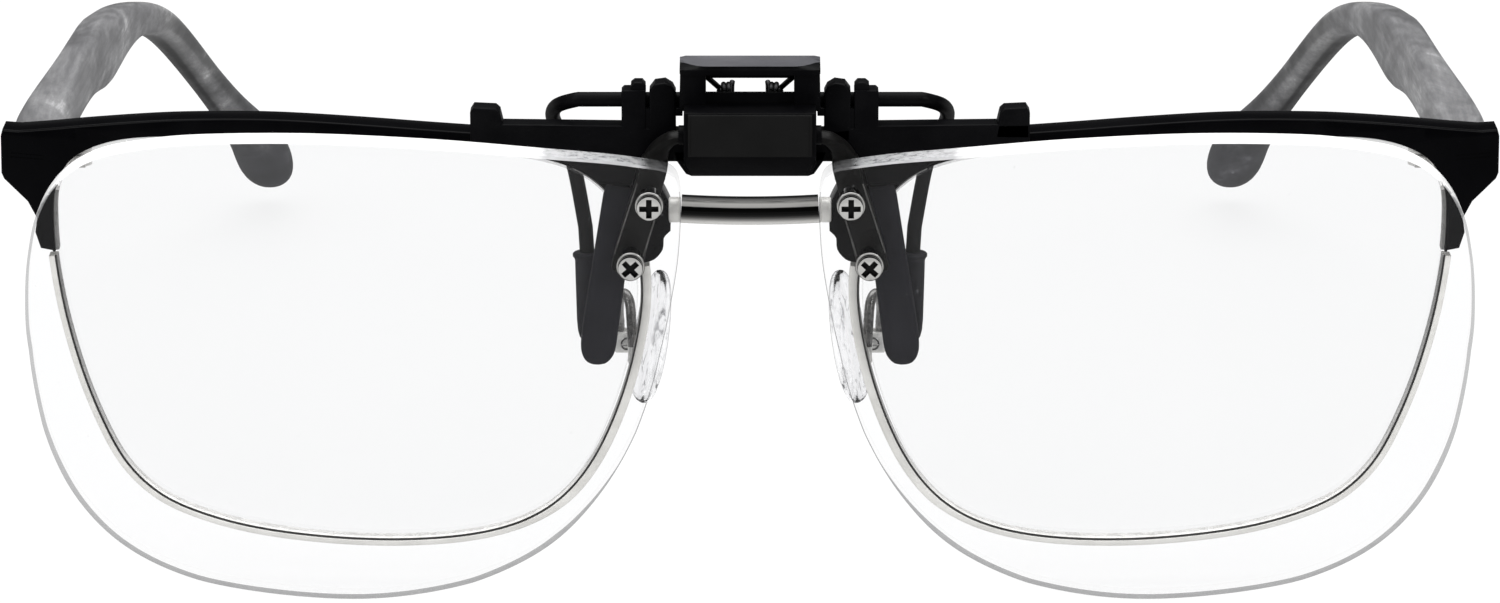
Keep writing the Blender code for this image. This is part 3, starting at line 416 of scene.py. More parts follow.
def make_temple(name):
    """Soft-touch grey with rubbed, paler patches and drag marks, and painted light and shade
    along its length and across its sides.
    """
    material, graph, bsdf = new_material(name)
    rub = graph.noise(graph.coords(stretch=(1, 0.45, 1)), scale=110.0, detail=7.0,
                      roughness=0.66, distortion=0.8)
    drag = graph.noise(graph.coords(stretch=(3.0, 0.25, 3.0), turn=(0.5, 0.2, 0)),
                       scale=420.0, detail=4.0, roughness=0.7)
    wear = graph.plus(graph.times(rub, 0.72), graph.times(drag, 0.28))
    base = graph.ramp(wear, [(0.36, (0.042, 0.042, 0.043)), (0.47, (0.066, 0.066, 0.068)),
                             (0.56, (0.100, 0.100, 0.102)), (0.66, (0.20, 0.20, 0.202))])

    place = graph.split(graph.node("TexCoord").outputs["Object"])
    normal = graph.split(graph.node("NewGeometry").outputs["Normal"])
    outward = graph.times(normal["X"], graph.math('SIGN', place["X"], 0.0))
    # lengths along y in metres over which the painted light changes
    bend = graph.remap(place["Y"], span=(0.018, 0.032))
    tip = graph.remap(place["Y"], span=(0.050, 0.062))
    deep = graph.remap(place["Y"], span=(0.034, 0.048))
    # painted light and shade from the inner side (0) to the outer side (1)
    front = graph.ramp(graph.remap(outward, span=(-1.0, 1.0)),
                       [(0.0, 2.3), (0.25, 2.3), (0.5, 2.0), (1.0, 2.0)])
    painted_light_stops = [(0.0, 1.1), (0.02, 1.35), (0.05, 2.2), (0.11, 2.6), (0.21, 2.55), (0.31, 2.1),
               (0.42, 1.45), (0.475, 0.62), (0.52, 0.55), (0.6, 0.9), (1.0, 1.2)]
    painted_flank_light = graph.ramp(graph.remap(outward, span=(-1.0, 1.0)),
                       [(at, (grey, grey, grey * 0.985)) for at, grey in painted_light_stops])
    rear = graph.tint(painted_flank_light, graph.ramp(deep, [(0.0, 1.0), (1.0, (0.66, 0.66, 0.67))]))
    # painted light on the front part, painted light and shade on the sides further back, darker
    # towards the rear and a darker, bluish tip
    length = graph.blend(tip, graph.blend(bend, front, rear), (0.48, 0.48, 0.52, 1.0))
    graph.put(bsdf, Base_Color=graph.tint(base, length),
              Roughness=graph.remap(wear, span=(0.3, 0.75), to=(0.36, 0.62)),
              Specular_IOR_Level=0.10)
    graph.bump(bsdf, graph.noise(graph.coords(), scale=5200.0, detail=2.0), 0.15)
    return material


GLOSS_BLACK = finish(
    "gloss_black", tones=((0.0008, 0.0008, 0.0011), (0.0018, 0.0018, 0.0022)),
    roughness=(0.12, 0.22), specular=0.05, patches=120.0, grain=2600.0, bump=0.04)
CLIP_BLACK = finish(
    "moulded_black", tones=((0.0012, 0.0012, 0.0016), (0.0028, 0.0028, 0.0034)),
    roughness=(0.34, 0.50), specular=0.06, patches=260.0, grain=5200.0, bump=0.22)
# Lighter copy of the clip's black, painted light on the carrier's neck and plates; its patches
# and grain are its own
CARRIER_BLACK_PAINTED_LIGHT = finish(
    "carrier_black_painted_light", tones=((0.0030, 0.0029, 0.0028), (0.0075, 0.0073, 0.0070)),
    roughness=(0.28, 0.48), specular=0.12, patches=420.0, grain=3800.0, bump=0.25)
PLATE_BLACK = finish(
    "plate_black", tones=(0.0058, 0.0070),
    roughness=(0.45, 0.55), specular=0.07, patches=300.0, grain=6000.0, bump=0.12)
LEG_RUBBER = finish(
    "leg_rubber", tones=((0.0075, 0.0075, 0.0105), (0.0125, 0.0125, 0.0165)),
    roughness=(0.50, 0.70), specular=0.12, patches=330.0, grain=4200.0, bump=0.30)
SATIN = finish(
    "satin_band", tones=((0.66, 0.65, 0.62), (0.78, 0.77, 0.74)), roughness=(0.30, 0.45),
    metal=0.15, patches=500.0, grain=3000.0, stretch=(0.4, 1, 1))
# Dark metal painted into the rim's groove as shade
GROOVE_PAINTED_SHADE = finish(
    "band_groove_painted_shade", tones=((0.05, 0.049, 0.047), (0.12, 0.118, 0.115)),
    roughness=(0.4, 0.6), metal=0.3, patches=600.0, bump=0.0)
# Bright lip; painted shade and a painted glow are added to it below
LIP_PAINTED_GLOW = finish(
    "bright_lip_painted_glow", tones=((0.74, 0.73, 0.71), (0.88, 0.87, 0.85)),
    roughness=(0.22, 0.34), metal=0.05, patches=700.0, grain=3000.0, bump=0.06)
paint_lip_shade_and_glow(LIP_PAINTED_GLOW)
PAD_CUP = finish(
    "pad_cup", tones=((0.60, 0.595, 0.58), (0.74, 0.735, 0.715)),
    roughness=(0.22, 0.34), metal=0.1, patches=700.0, grain=3000.0, bump=0.06)
HINGE_STEEL = finish(
    "hinge_steel", tones=((0.62, 0.61, 0.59), (0.80, 0.79, 0.77)),
    roughness=(0.22, 0.40), metal=0.3, patches=700.0, grain=5000.0, bump=0.15)
SPRING_STEEL = finish(
    "spring_black_steel", tones=((0.012, 0.012, 0.013), (0.05, 0.05, 0.052)),
    roughness=(0.25, 0.40), metal=1.0, patches=900.0)
HINGE_SCREW = finish(
    "screw_plate", tones=((0.50, 0.50, 0.485), (0.66, 0.66, 0.64)),
    roughness=(0.12, 0.26), metal=0.6, patches=900.0, grain=5200.0, bump=0.08)
# Near black painted on screw slots and washer hollows as shade
RECESS_PAINTED_SHADE = finish(
    "screw_recess_painted_shade", tones=(0.006, 0.02), roughness=(0.4, 0.6), metal=0.6, patches=1500.0,
    bump=0.0)
SCREW_HEAD_PAINTED_LIGHT = make_screw_head("screw_head_painted_light")
# Lighter black painted on the pinch plate's top face as a sheen of the top light
SHEEN_PAINTED_BLACK = finish(
    "painted_sheen_black", tones=((0.050, 0.050, 0.056), (0.105, 0.105, 0.115)),
    roughness=(0.35, 0.50), specular=0.2, patches=140.0, grain=5200.0, bump=0.2,
    stretch=(0.5, 1, 1))
PAD_ARM = finish(
    "pad_arm_steel", tones=((0.10, 0.098, 0.095), (0.26, 0.255, 0.25)),
    roughness=(0.20, 0.35), metal=0.5, patches=900.0)
# Thin lighter lines painted along the carrier plate's edges as highlights
PAINTED_HIGHLIGHT_RIDGE = finish(
    "painted_highlight_ridge", tones=((0.045, 0.044, 0.042), (0.11, 0.108, 0.105)),
    roughness=(0.3, 0.5), specular=0.2, patches=900.0)
CHROME_PAINTED_REFLECTION = make_chrome("bridge_chrome")
LENS_CLEAR = make_clear("lens_clear", tint=(0.980, 0.981, 0.981), veil=0.0025, ior=1.22)
MAGNIFIER_CLEAR = make_clear("magnifier_clear", tint=(0.980, 0.981, 0.983), veil=0.0030,
                             ior=1.26)
GROUND_EDGE = make_ground_edge("ground_edge")
MAGNIFIER_LINE = make_edge_line("edge_line", colour=(0.34, 0.34, 0.345), cover=0.85)
LENS_LINE = make_edge_line("lens_line", colour=(0.42, 0.42, 0.42), cover=0.16)
SILICONE = make_silicone("clear_silicone")
TEMPLE_GREY_PAINTED_LIGHT = make_temple("temple_grey")


# ------------------------------------------------------------------ lines and outlines
def steps(low, high, count):
    return [low + (high - low) * i / count for i in range(count + 1)]


def fade(value, zero, one):
    """Straight ramp that is 0 up to zero and 1 from one on."""
    return min(1.0, max(0.0, (value - zero) / (one - zero)))


def smooth(points, divisions, closed=False):
    """Catmull-Rom curve through the points."""
    points = [Vector(point) for point in points]
    count = len(points)
    line = []
    for i in range(count if closed else count - 1):
        start, end = points[i], points[(i + 1) % count]
        before = points[i - 1] if closed or i > 0 else start * 2 - end
        after = points[(i + 2) % count] if closed or i + 2 < count else end * 2 - start
        for k in range(divisions):
            part = k / divisions
            line.append(0.5 * (2 * start + (end - before) * part
                               + (2 * before - 5 * start + 4 * end - after) * part * part
                               + (3 * start - before - 3 * end + after) * part ** 3))
    if not closed:
        line.append(points[-1])
    return line


def fair(line, times, closed=True):
    """Take the small unevenness out of a dense line."""
    points = [Vector(point) for point in line]
    count = len(points)
    for _ in range(times):
        points = [point if not closed and i in (0, count - 1)
                  else points[i - 1] * 0.25 + point * 0.5 + points[(i + 1) % count] * 0.25
                  for i, point in enumerate(points)]
    return points


def inset(outline, distance):
    """Closed (x, z) outline moved inwards."""
    points = [Vector(point) for point in outline]
    count = len(points)
    ends = [points[(i + 1) % count] for i in range(count)]
    area = sum(start[0] * end[1] - end[0] * start[1] for start, end in zip(points, ends))
    way = 1.0 if area > 0 else -1.0
    moved = []
    for i, point in enumerate(points):
        along = ends[i] - points[i - 1]
        along.normalize()
        moved.append(Vector((point[0] - way * along[1] * distance,
                             point[1] + way * along[0] * distance)))
    return moved


def sided(outline, sign):
    return [(sign * point[0], point[1]) for point in outline]


def rounded(width, height, count, power):
    """Superellipse section; a higher power is squarer."""
    points = []
    for i in range(count):
        angle = 2 * pi * (i + 0.5) / count
        across, up = cos(angle), sin(angle)
        reach = (abs(across) ** power + abs(up) ** power) ** (-1 / power)
        points.append((0.5 * width * reach * across, 0.5 * height * reach * up))
    return points


# ------------------------------------------------------------------ solids
def loft(sections):
    """Closed solid through rings of equal point count."""
    mesh = bmesh.new()
    rings = [[mesh.verts.new(point) for point in section] for section in sections]
    count = len(rings[0])
    for ring, after in zip(rings, rings[1:]):
        for i in range(count):
            k = (i + 1) % count
            mesh.faces.new((ring[i], ring[k], after[k], after[i]))
    mesh.faces.new(rings[0])
    mesh.faces.new(rings[-1])
    bmesh.ops.recalc_face_normals(mesh, faces=mesh.faces)
    return mesh


def tangent(path, i):
    return (path[min(i + 1, len(path) - 1)] - path[max(i - 1, 0)]).normalized()


def sweep(path, sizes, count, power, across=(1.0, 0.0, 0.0)):
    """Rounded section of changing (width, height) and power, width held towards across."""
    path = [Vector(point) for point in path]
    sections = []
    for i, point in enumerate(path):
        along = tangent(path, i)
        wide = Vector(across)
        wide = (wide - along * wide.dot(along)).normalized()
        high = wide.cross(along).normalized()
        here = power(i / (len(path) - 1)) if callable(power) else power
        sections.append([point + wide * a + high * b
                         for a, b in rounded(sizes[i][0], sizes[i][1], count, here)])
    return loft(sections)


def tube(points, radius, count):
    """Round wire along points, kept free of twist."""
    points = [Vector(point) for point in points]
    along = (points[1] - points[0]).normalized()
    start = Vector((0, 0, 1)) if abs(along.z) < 0.9 else Vector((1, 0, 0))
    up = (start - along * start.dot(along)).normalized()
    sections = []
    for i, point in enumerate(points):
        along = tangent(points, i)
        up = (up - along * up.dot(along)).normalized()
        aside = along.cross(up)
        angles = [2 * pi * k / count for k in range(count)]
        sections.append([point + up * (radius * cos(angle)) + aside * (radius * sin(angle))
                         for angle in angles])
    return loft(sections)


def turned(centre, axis, profile, count):
    """Turned piece: profile of (distance along the axis, radius)."""
    axis = Vector(axis).normalized()
    turn = axis.to_track_quat('Z', 'Y')
    centre = Vector(centre)
    angles = [2 * pi * i / count for i in range(count)]
    return loft([[centre + axis * along
                  + turn @ Vector((radius * cos(angle), radius * sin(angle), 0))
                  for angle in angles] for along, radius in profile])


def slab(outline, front, back, radius, segments=3):
    """Plate from an (x, z) outline between two y, with rounded edges."""
    angles = [0.5 * pi * k / segments for k in range(segments + 1)]
    rows = [(radius * (1 - sin(angle)), front + radius * (1 - cos(angle))) for angle in angles]
    rows += [(radius * (1 - sin(angle)), back - radius * (1 - cos(angle)))
             for angle in reversed(angles)]
    return loft([[(x, y, z) for x, z in inset(outline, depth)] for depth, y in rows])


def bevelled(mesh, radius, segments=2, angle=25.0):
    if radius > 0:
        bmesh.ops.recalc_face_normals(mesh, faces=mesh.faces)
        edges = [edge for edge in mesh.edges
                 if len(edge.link_faces) == 2 and edge.calc_face_angle(0) > radians(angle)]
        bmesh.ops.bevel(mesh, geom=edges, offset=radius, segments=segments, profile=0.5,
                        affect='EDGES', clamp_overlap=True)
    return mesh


def box(x0, x1, y0, y1, z0, z1, radius=0.0, segments=2):
    """Box between pairs of x, y and z, with rounded edges."""
    mesh = bmesh.new()
    bmesh.ops.create_cube(mesh, size=1.0)
    bmesh.ops.scale(mesh, verts=mesh.verts, vec=(abs(x1 - x0), abs(y1 - y0), abs(z1 - z0)))
    bmesh.ops.translate(mesh, verts=mesh.verts,
                        vec=((x0 + x1) / 2, (y0 + y1) / 2, (z0 + z1) / 2))
    return bevelled(mesh, radius, segments)


def cylinder(start, end, radius, count):
    start, end = Vector(start), Vector(end)
    mesh = bmesh.new()
    bmesh.ops.create_cone(mesh, cap_ends=True, segments=count, radius1=radius, radius2=radius,
                          depth=(end - start).length)
    turn = (end - start).to_track_quat('Z', 'Y').to_matrix().to_4x4()
    bmesh.ops.transform(mesh, matrix=Matrix.Translation((start + end) / 2) @ turn,
                        verts=mesh.verts)
    return mesh


def rod_across(half, y, z, radius, count):
    """Cylinder along x, centred on the bridge."""
    return cylinder((-half, y, z), (half, y, z), radius, count)


def split(mesh, xs, zs):
    """Cut the faces along grid lines, so that they can follow a curve."""
    planes = [((x, 0, 0), (1, 0, 0)) for x in xs] + [((0, 0, z), (0, 0, 1)) for z in zs]
    for place, normal in planes:
        bmesh.ops.bisect_plane(mesh, geom=mesh.verts[:] + mesh.edges[:] + mesh.faces[:],
                               dist=1e-5, plane_co=place, plane_no=normal)


def bend(mesh, depth):
    """Push each vertex back by depth(x, z)."""
    for vert in mesh.verts:
        vert.co.y += depth(vert.co.x, vert.co.z)


def link_object(name, data):
    thing = bpy.data.objects.new(name, data)
    bpy.context.scene.collection.objects.link(thing)
    return thing


def merge(first, second, operation):
    """Boolean of two meshes; uses both up."""
    tools = []
    for mesh in (first, second):
        bmesh.ops.recalc_face_normals(mesh, faces=mesh.faces)
        data = bpy.data.meshes.new("tool")
        mesh.to_mesh(data)
        mesh.free()
        tools.append(link_object("tool", data))
    modifier = tools[0].modifiers.new("tool", 'BOOLEAN')
    modifier.solver = 'EXACT'
    modifier.operation = operation
    modifier.object = tools[1]
    graph = bpy.context.evaluated_depsgraph_get()
    data = bpy.data.meshes.new_from_object(tools[0].evaluated_get(graph))
    result = bmesh.new()
    result.from_mesh(data)
    for tool in tools:
        used = tool.data
        bpy.data.objects.remove(tool, do_unlink=True)
        bpy.data.meshes.remove(used)
    bpy.data.meshes.remove(data)
    return result


def union(first, *rest):
    for mesh in rest:
        first = merge(first, mesh, 'UNION')
    return first


def cut(first, *rest):
    for mesh in rest:
        first = merge(first, mesh, 'DIFFERENCE')
    return first


def piece(name, mesh, materials, body, node=None, sharp=38.0, weld=1e-5, classify=None):
    """Finish a front-frame mesh as a visible piece that rides on body and replaces a CAD node.

    classify(face) gives the index of a face's material.
    """
    if weld:
        bmesh.ops.remove_doubles(mesh, verts=mesh.verts, dist=weld)
    bmesh.ops.recalc_face_normals(mesh, faces=mesh.faces)
    if classify:
        for face in mesh.faces:
            face.material_index = classify(face)
    bmesh.ops.translate(mesh, verts=mesh.verts, vec=(0, FRAME_Y, FRAME_Z))
    bmesh.ops.scale(mesh, verts=mesh.verts, vec=(MM, MM, MM))
    data = bpy.data.meshes.new(name)
    mesh.to_mesh(data)
    mesh.free()
    data.shade_smooth()
    data.set_sharp_from_angle(angle=radians(sharp))
    thing = link_object(name, data)
    for material in materials:
        data.materials.append(material)
    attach(thing, body)
    if node:
        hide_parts(node)


# ------------------------------------------------------------------ spectacle front
RIM_CENTRE = Vector((39.0, -4.0))
RIM_TOP = 3.55                       # z where the rim band ends and the brow takes over
# Rim profiles: outwards from the lens opening, y from the lens curve
RIM_PROFILE = [
    (-0.02, -0.28), (0.0, -0.52), (0.03, -0.60), (0.07, -0.58), (0.09, -0.42), (0.21, -0.42),
    (0.23, -0.76), (0.27, -0.84), (0.62, -0.87), (0.74, -0.82), (0.80, -0.68), (0.80, 0.68),
    (0.72, 0.85), (0.08, 0.85), (-0.02, 0.75)]
# the groove faces are painted dark as shade
RIM_STRIPS = {3: 1, 4: 1, 5: 1, 14: 2, 0: 2, 1: 2, 2: 2}    # profile side: groove 1, lip 2
LIP_PROFILE = [(-0.30, -0.5), (-0.25, -0.80), (0.12, -0.85), (0.2, -0.5), (0.2, 0.6),
               (-0.26, 0.7)]

# the opening is raised a little along its bottom
opening = [Vector((x, z + 0.17 * fade(z, -12.0, -20.0)))
           for x, z in fair(smooth(APERTURE, 7, closed=True), 12)]
brow_edge = [Vector(point) for point in BROW_END]
brow_edge += fair(smooth(BROW_TOP, 6), 6, closed=False) + smooth(BROW_TONGUE, 3)


def split_opening(limit):
    """The opening's edge below and above limit, each from temple to nose side."""
    count = len(opening)
    low = [point[1] < limit for point in opening]
    start = next(i for i in range(count) if low[i] and not low[(i + 1) % count])
    order = [opening[(start - k) % count] for k in range(count)]
    below = sum(low)
    runs = order[:below], order[below - 1:] + order[:1]
    return [run[::-1] if run[0][0] < run[-1][0] else run for run in runs]


lower_run, upper_run = split_opening(RIM_TOP)


def brow_depth(x, z, back):
    """Lens curve; the back of the end piece is carried out to END_BACK instead."""
    y = lens_surface(x, z)
    if not back:
        return y
    block = fade(abs(x), 68.2, 69.4) * fade(z, 5.5, 7.5) * fade(z, 14.4, 12.8)
    block = block * block * (3 - 2 * block)
    return y + (END_BACK - BROW_BACK - y) * block


def add_brow(side, sign):
    inner = [point for point in upper_run if point[1] > 3.9]
    mesh = slab([Vector((67.85, 4.0))] + brow_edge + inner[::-1], -BROW_FRONT, BROW_BACK,
                0.22, 4)
    # two fine lines across the end piece
    for z in (13.0, 13.38):
        mesh = cut(mesh, box(68.7, 72.0, -BROW_FRONT - 0.5, -BROW_FRONT + 0.08,
                             z - 0.05, z + 0.05))
    split(mesh, steps(9, 72.6, 53), steps(5, 17.5, 10))
    for vert in mesh.verts:
        vert.co.y += brow_depth(vert.co.x, vert.co.z, vert.co.y > 0)
    if sign < 0:
        bmesh.ops.scale(mesh, verts=mesh.verts, vec=(-1, 1, 1))
        bmesh.ops.recalc_face_normals(mesh, faces=mesh.faces)
    piece("brow_shell_" + side, mesh, [GLOSS_BLACK], FRONT, "brow_" + side)


def rim_sections(run, sign, profile):
    """Sections of a rim profile along a run of the opening, wider towards the nose."""
    sections = []
    for i, point in enumerate(run):
        along = tangent(run, i)
        outward = Vector((-along[1], along[0]))
        if outward.dot(point - RIM_CENTRE) < 0:
            outward = -outward
        widen = 1.0 + 0.28 * fade(point[0], 24.0, 18.0) * fade(point[1], -24.0, -20.0)
        section = []
        for reach, depth in profile:
            place = point + outward * (reach * widen if reach > 0.25 else reach)
            section.append((sign * place[0], lens_surface(*point) + depth, place[1]))
        sections.append(section)
    return sections


def add_rim(side, sign):
    """Band below: satin with a groove in painted shade and a bright inner lip with a painted
    glow. The lip runs on above.
    """
    mesh = loft(rim_sections(lower_run, sign, RIM_PROFILE))
    count = len(RIM_PROFILE)
    for k, face in enumerate(mesh.faces):
        if k < count * (len(lower_run) - 1):
            face.material_index = RIM_STRIPS.get(k % count, 0)
    piece("rim_band_" + side, mesh, [SATIN, GROOVE_PAINTED_SHADE, LIP_PAINTED_GLOW], FRONT, "rim_" + side,
          sharp=50.0, weld=0)

    outer = [point for point in upper_run if 3.4 < point[1] < 10.2 and point[0] > 40]
    nose = [point for point in upper_run if 3.4 < point[1] < 13.5 and point[0] < 40]
    for name, run in (("rim_lip_", outer), ("rim_lip_nose_", nose)):
        piece(name + side, loft(rim_sections(run, sign, LIP_PROFILE)), [LIP_PAINTED_GLOW], FRONT,
              sharp=50.0)


def add_lens(side, sign):
    mesh = slab(sided(inset(opening, 0.25), sign), -0.9, 0.9, 0.14, 1)
    split(mesh, [sign * x for x in steps(13, 66, 26)], steps(-23, 15, 19))
    bend(mesh, lens_surface)
    piece("lens_" + side, mesh, [LENS_CLEAR, LENS_LINE], FRONT,
          "spectacle_lens_" + side, sharp=25.0,
          classify=lambda face: 0 if abs(face.normal.y) > 0.86 else 1)


def add_ferrule(side, sign):
    """Ringed collar at the end of the bridge rod."""
    profile = [(0.0, 1.16), (0.04, 1.24), (0.12, 1.26), (0.2, 1.2), (0.26, 1.24), (1.0, 1.24),
               (1.12, 1.16), (1.16, 1.0)]
    mesh = turned((sign * 6.71, BRIDGE_Y, BRIDGE_Z - 0.1), (sign, 0, 0), profile, 36)
    piece("bridge_ferrule_" + side, mesh, [SATIN], FRONT, "bridge_collar_" + side)


def add_bridge():
    """Rod that sags slightly in the middle."""
    points = [(x, BRIDGE_Y, BRIDGE_Z - 0.2 * (1 - (x / 6.6) ** 2))
              for x in steps(-6.66, 6.66, 40)]
    piece("bridge_rod", tube(points, BRIDGE_R, 64), [CHROME_PAINTED_REFLECTION], FRONT, "bridge_bar")


# ------------------------------------------------------------------ nose pads
PAD_ARM_PATH = [(11.4, 2.5, -6.6), (11.55, 3.2, -3.6), (11.75, 4.1, -1.4), (12.25, 5.1, -0.7),
                (12.75, 6.1, -1.4), (12.9, 7.1, -3.2), (12.7, 7.8, -5.6)]


def add_pad_arm(side, sign):
    """Looped wire from a solder blob on the rim to a slotted cup that holds the pad."""
    x, y, z = sign * PAD_X, PAD_Y, PAD_Z
    arm = tube([(sign * px, py, pz) for px, py, pz in smooth(PAD_ARM_PATH, 8)], 0.5, 16)
    cup = box(sign * 11.3, sign * 13.3, y - 1.0, y + 1.0, z - 1.05, z + 1.05, 0.18, 3)
    solder = turned((sign * 11.38, 2.35, -6.7), (0, 1, 0.25),
                    [(-0.25, 0.3), (0.0, 0.58), (0.4, 0.52), (0.7, 0.4)], 20)
    mesh = cut(union(cup, arm, solder),
               box(sign * 10.9, sign * 12.8, y - 0.55, y + 0.55, z - 2, z + 2),
               cylinder((x, y - 2, z), (x, y + 2, z), 0.6, 24))
    piece("pad_arm_" + side, mesh, [PAD_CUP, PAD_ARM], FRONT, "nose_pad_arm_" + side,
          classify=lambda face: 1 if face.calc_center_median().z > PAD_Z + 1.06 else 0)


def add_pad(side, sign):
    """Oval pad, full on the nose side and dished on the other, with a tongue for the cup."""
    rings, count = 28, 28
    half_height, half_width, half_thick = 6.7, 3.5, 1.0
    centre = Vector((sign * 9.75, PAD_Y + 0.3, -6.0))
    turn = (Matrix.Rotation(radians(-24 * sign), 3, 'Z')
            @ Matrix.Rotation(radians(-10.5 * sign), 3, 'Y'))
    sections = []
    for k in range(rings + 1):
        rise = max(-1.5, min(1.5, -pi / 2 + pi * k / rings))
        width = max(0.12, half_width * cos(rise) ** 0.8) * (1.0 - 0.12 * sin(rise))
        thick = max(0.08, half_thick * cos(rise) ** 0.6)
        ring = []
        for i in range(count):
            angle = 2 * pi * (i + 0.5) / count
            across, back = cos(angle), sin(angle)
            x = thick * across
            if sign * across >= 0:
                x *= 0.55 + 0.45 * abs(back)
            ring.append(turn @ Vector((x, width * back, half_height * sin(rise))) + centre)
        sections.append(ring)
    tongue = box(sign * 9.9, sign * 12.45, PAD_Y - 0.3, PAD_Y + 0.3,
                 PAD_Z - 0.8, PAD_Z + 0.8, 0.1)
    piece("pad_" + side, union(loft(sections), tongue), [SILICONE], "pad_" + side,
          "nose_pad_" + side, sharp=60.0)


def add_pad_screw(side, sign):
    x, y, z = sign * PAD_X, PAD_Y, PAD_Z
    head = turned((x, y - 1.25, z), (0, -1, 0),
                  [(0.0, 0.62), (0.25, 0.62), (0.42, 0.5), (0.5, 0.25)], 28)
    shank = cylinder((x, y - 1.4, z), (x, y + 1.3, z), 0.3, 20)
    mesh = cut(union(head, shank),
               box(x - 0.6, x + 0.6, y - 2.0, y - 1.6, z - 0.08, z + 0.08))
    piece("pad_screw_" + side, mesh, [SCREW_HEAD_PAINTED_LIGHT], FRONT, "nose_pad_screw_" + side)


# ------------------------------------------------------------------ temples
def add_temple(side, sign):
    """Squarish at the front, rounder towards the tip."""
    path = fair(smooth([station[:3] for station in TEMPLE], 7), 8, closed=False)
    sizes = fair(smooth([station[3:] for station in TEMPLE], 7), 4, closed=False)
    # draw in the front end
    ends = [min(1.0, (point[1] - path[0][1]) / 1.2 + 0.72) for point in path]
    mesh = sweep([(sign * x, y, z) for x, y, z in path],
                 [(size[0] * end, size[1] * end) for size, end in zip(sizes, ends)], 36,
                 power=lambda part: 4.2 - 1.9 * fade(part, 0.25, 0.65))
    piece("temple_" + side + "_sleeve", mesh, [TEMPLE_GREY_PAINTED_LIGHT], "temple_arm_" + side,
          "temple_" + side, sharp=60.0)


# ------------------------------------------------------------------ clip body
# Bar edges of the +x half, (x, z)
BAR_TOP = [(26.8, 18.68), (12.0, 18.5), (7.1, 17.9)]
BAR_LOW = [(26.8, 16.8), (20.0, 16.12), (14.6, 15.25), (10.6, 14.95), (7.2, 14.95)]
CENTRE_PLATE = [(-7.25, 16.0), (-7.1, 15.1), (-6.15, 13.72), (-5.6, 13.5), (5.6, 13.5),
                (6.15, 13.72), (7.1, 15.1), (7.25, 16.0)]
# Plates on the bar: (x, z) outline, set back from the bar's front, in from its back, edge radius
BAR_PLATES = (
    # web above the leg
    ([(20.3, 16.6), (14.4, 12.72), (11.3, 12.58), (10.65, 15.6)], 0.12, 0.1, 0.14),
    # raised end
    ([(26.8, 17.2), (26.8, 19.75), (26.45, 20.3), (24.35, 20.2), (23.95, 19.85), (23.6, 18.3),
      (23.6, 17.2)], 0.0, 0.0, 0.22),
    # outer upright and its knob
    ([(12.3, 17.2), (12.3, 21.75), (12.05, 21.98), (9.97, 21.98), (9.97, 17.2)],
     0.02, 0.02, 0.12),
    ([(11.45, 21.4), (11.4, 22.45), (11.05, 22.74), (10.3, 22.74), (9.99, 22.4),
      (9.97, 21.4)], 0.25, 0.25, 0.2),
    # inner upright
    ([(9.65, 17.0), (9.62, 21.9), (9.1, 22.6), (8.1, 22.74), (7.4, 22.3), (7.1, 21.7),
      (7.1, 17.0)], 0.0, 0.0, 0.2))


def clip_bar():
    outline = BAR_TOP + sided(BAR_TOP[::-1], -1) + sided(BAR_LOW, -1) + BAR_LOW[::-1]
    return slab(outline, BAR_FRONT, BAR_BACK, 0.16)


def clip_side(sign):
    """Plates of one side, the core of its leg and two small blocks at the inner upright."""
    front, back = BAR_FRONT + 0.1, BAR_BACK - 0.1
    parts = [slab(sided(outline, sign), BAR_FRONT + ahead, BAR_BACK - behind, radius)
             for outline, ahead, behind, radius in BAR_PLATES]
    parts.append(sweep([(sign * 12.3, LEG_Y, 13.0), (sign * 14.2, LEG_Y, 0.0)],
                       [(1.9, 0.8)] * 2, 12, 6.0))
    parts.append(box(sign * 6.45, sign * 7.3, front, back, 19.45, 20.2, 0.06))
    parts.append(box(sign * 9.5, sign * 10.1, front, back, 18.2, 20.17))
    return parts


def clip_housing():
    profile = [(-8.0, 21.0), (-8.0, 16.7), (-6.8, 14.5), (-3.2, 14.4), (-3.2, 21.0)]   # y, z
    # x and the lowest z there: both ends are cut away below
    ends = ((-6.3, 15.5), (-5.7, 14.4), (5.7, 14.4), (6.3, 15.5))
    return bevelled(loft([[(x, y, max(z, low)) for y, z in profile] for x, low in ends]),
                    0.14, 3, 35)


def clip_cheek(sign):
    """Side wall between the housing and the pinch plate, (x, widening at the foot)."""
    walls = ((sign * 4.2, 0.0), (sign * 6.65, sign * 0.1))
    return bevelled(loft([[(x + foot, -4.7, 20.3), (x, -5.7, 24.75), (x, -3.4, 24.75),
                           (x + foot, -3.42, 20.3)] for x, foot in walls]), 0.12)


def pinch_corner(x):
    return fade(abs(x), 4.2, 6.7)


def pinch_front(x):
    """y of the top face's front edge, drawn back at the corners."""
    corner = pinch_corner(x)
    return -6.0 + 2.3 * corner * corner


def pinch_plate():
    """Plate on top; its top face runs out towards the front corners."""
    sections = []
    for x in steps(-6.7, 6.7, 24):
        corner, front = pinch_corner(x), pinch_front(x)
        ease = 0.14 if abs(x) > 6.69 else 0.0      # the end sections are drawn in
        sections.append([
            (x, -5.9 + ease, 24.15 + ease), (x, -6.1 + ease, 24.72),
            (x, -6.02 + ease, 24.86 - 0.1 * corner), (x, front, 25.06 - ease),
            (x, front + 0.5, 25.10 - 0.10 * (1 - corner) - ease),
            (x, -3.4, 25.16 - 0.12 * (1 - corner) - ease), (x, -2.5, 25.25 - ease),
            (x, -2.2 - ease, 25.1), (x, -2.1 - ease, 24.6), (x, -2.2 - ease, 24.45 + ease)])
    return loft(sections)


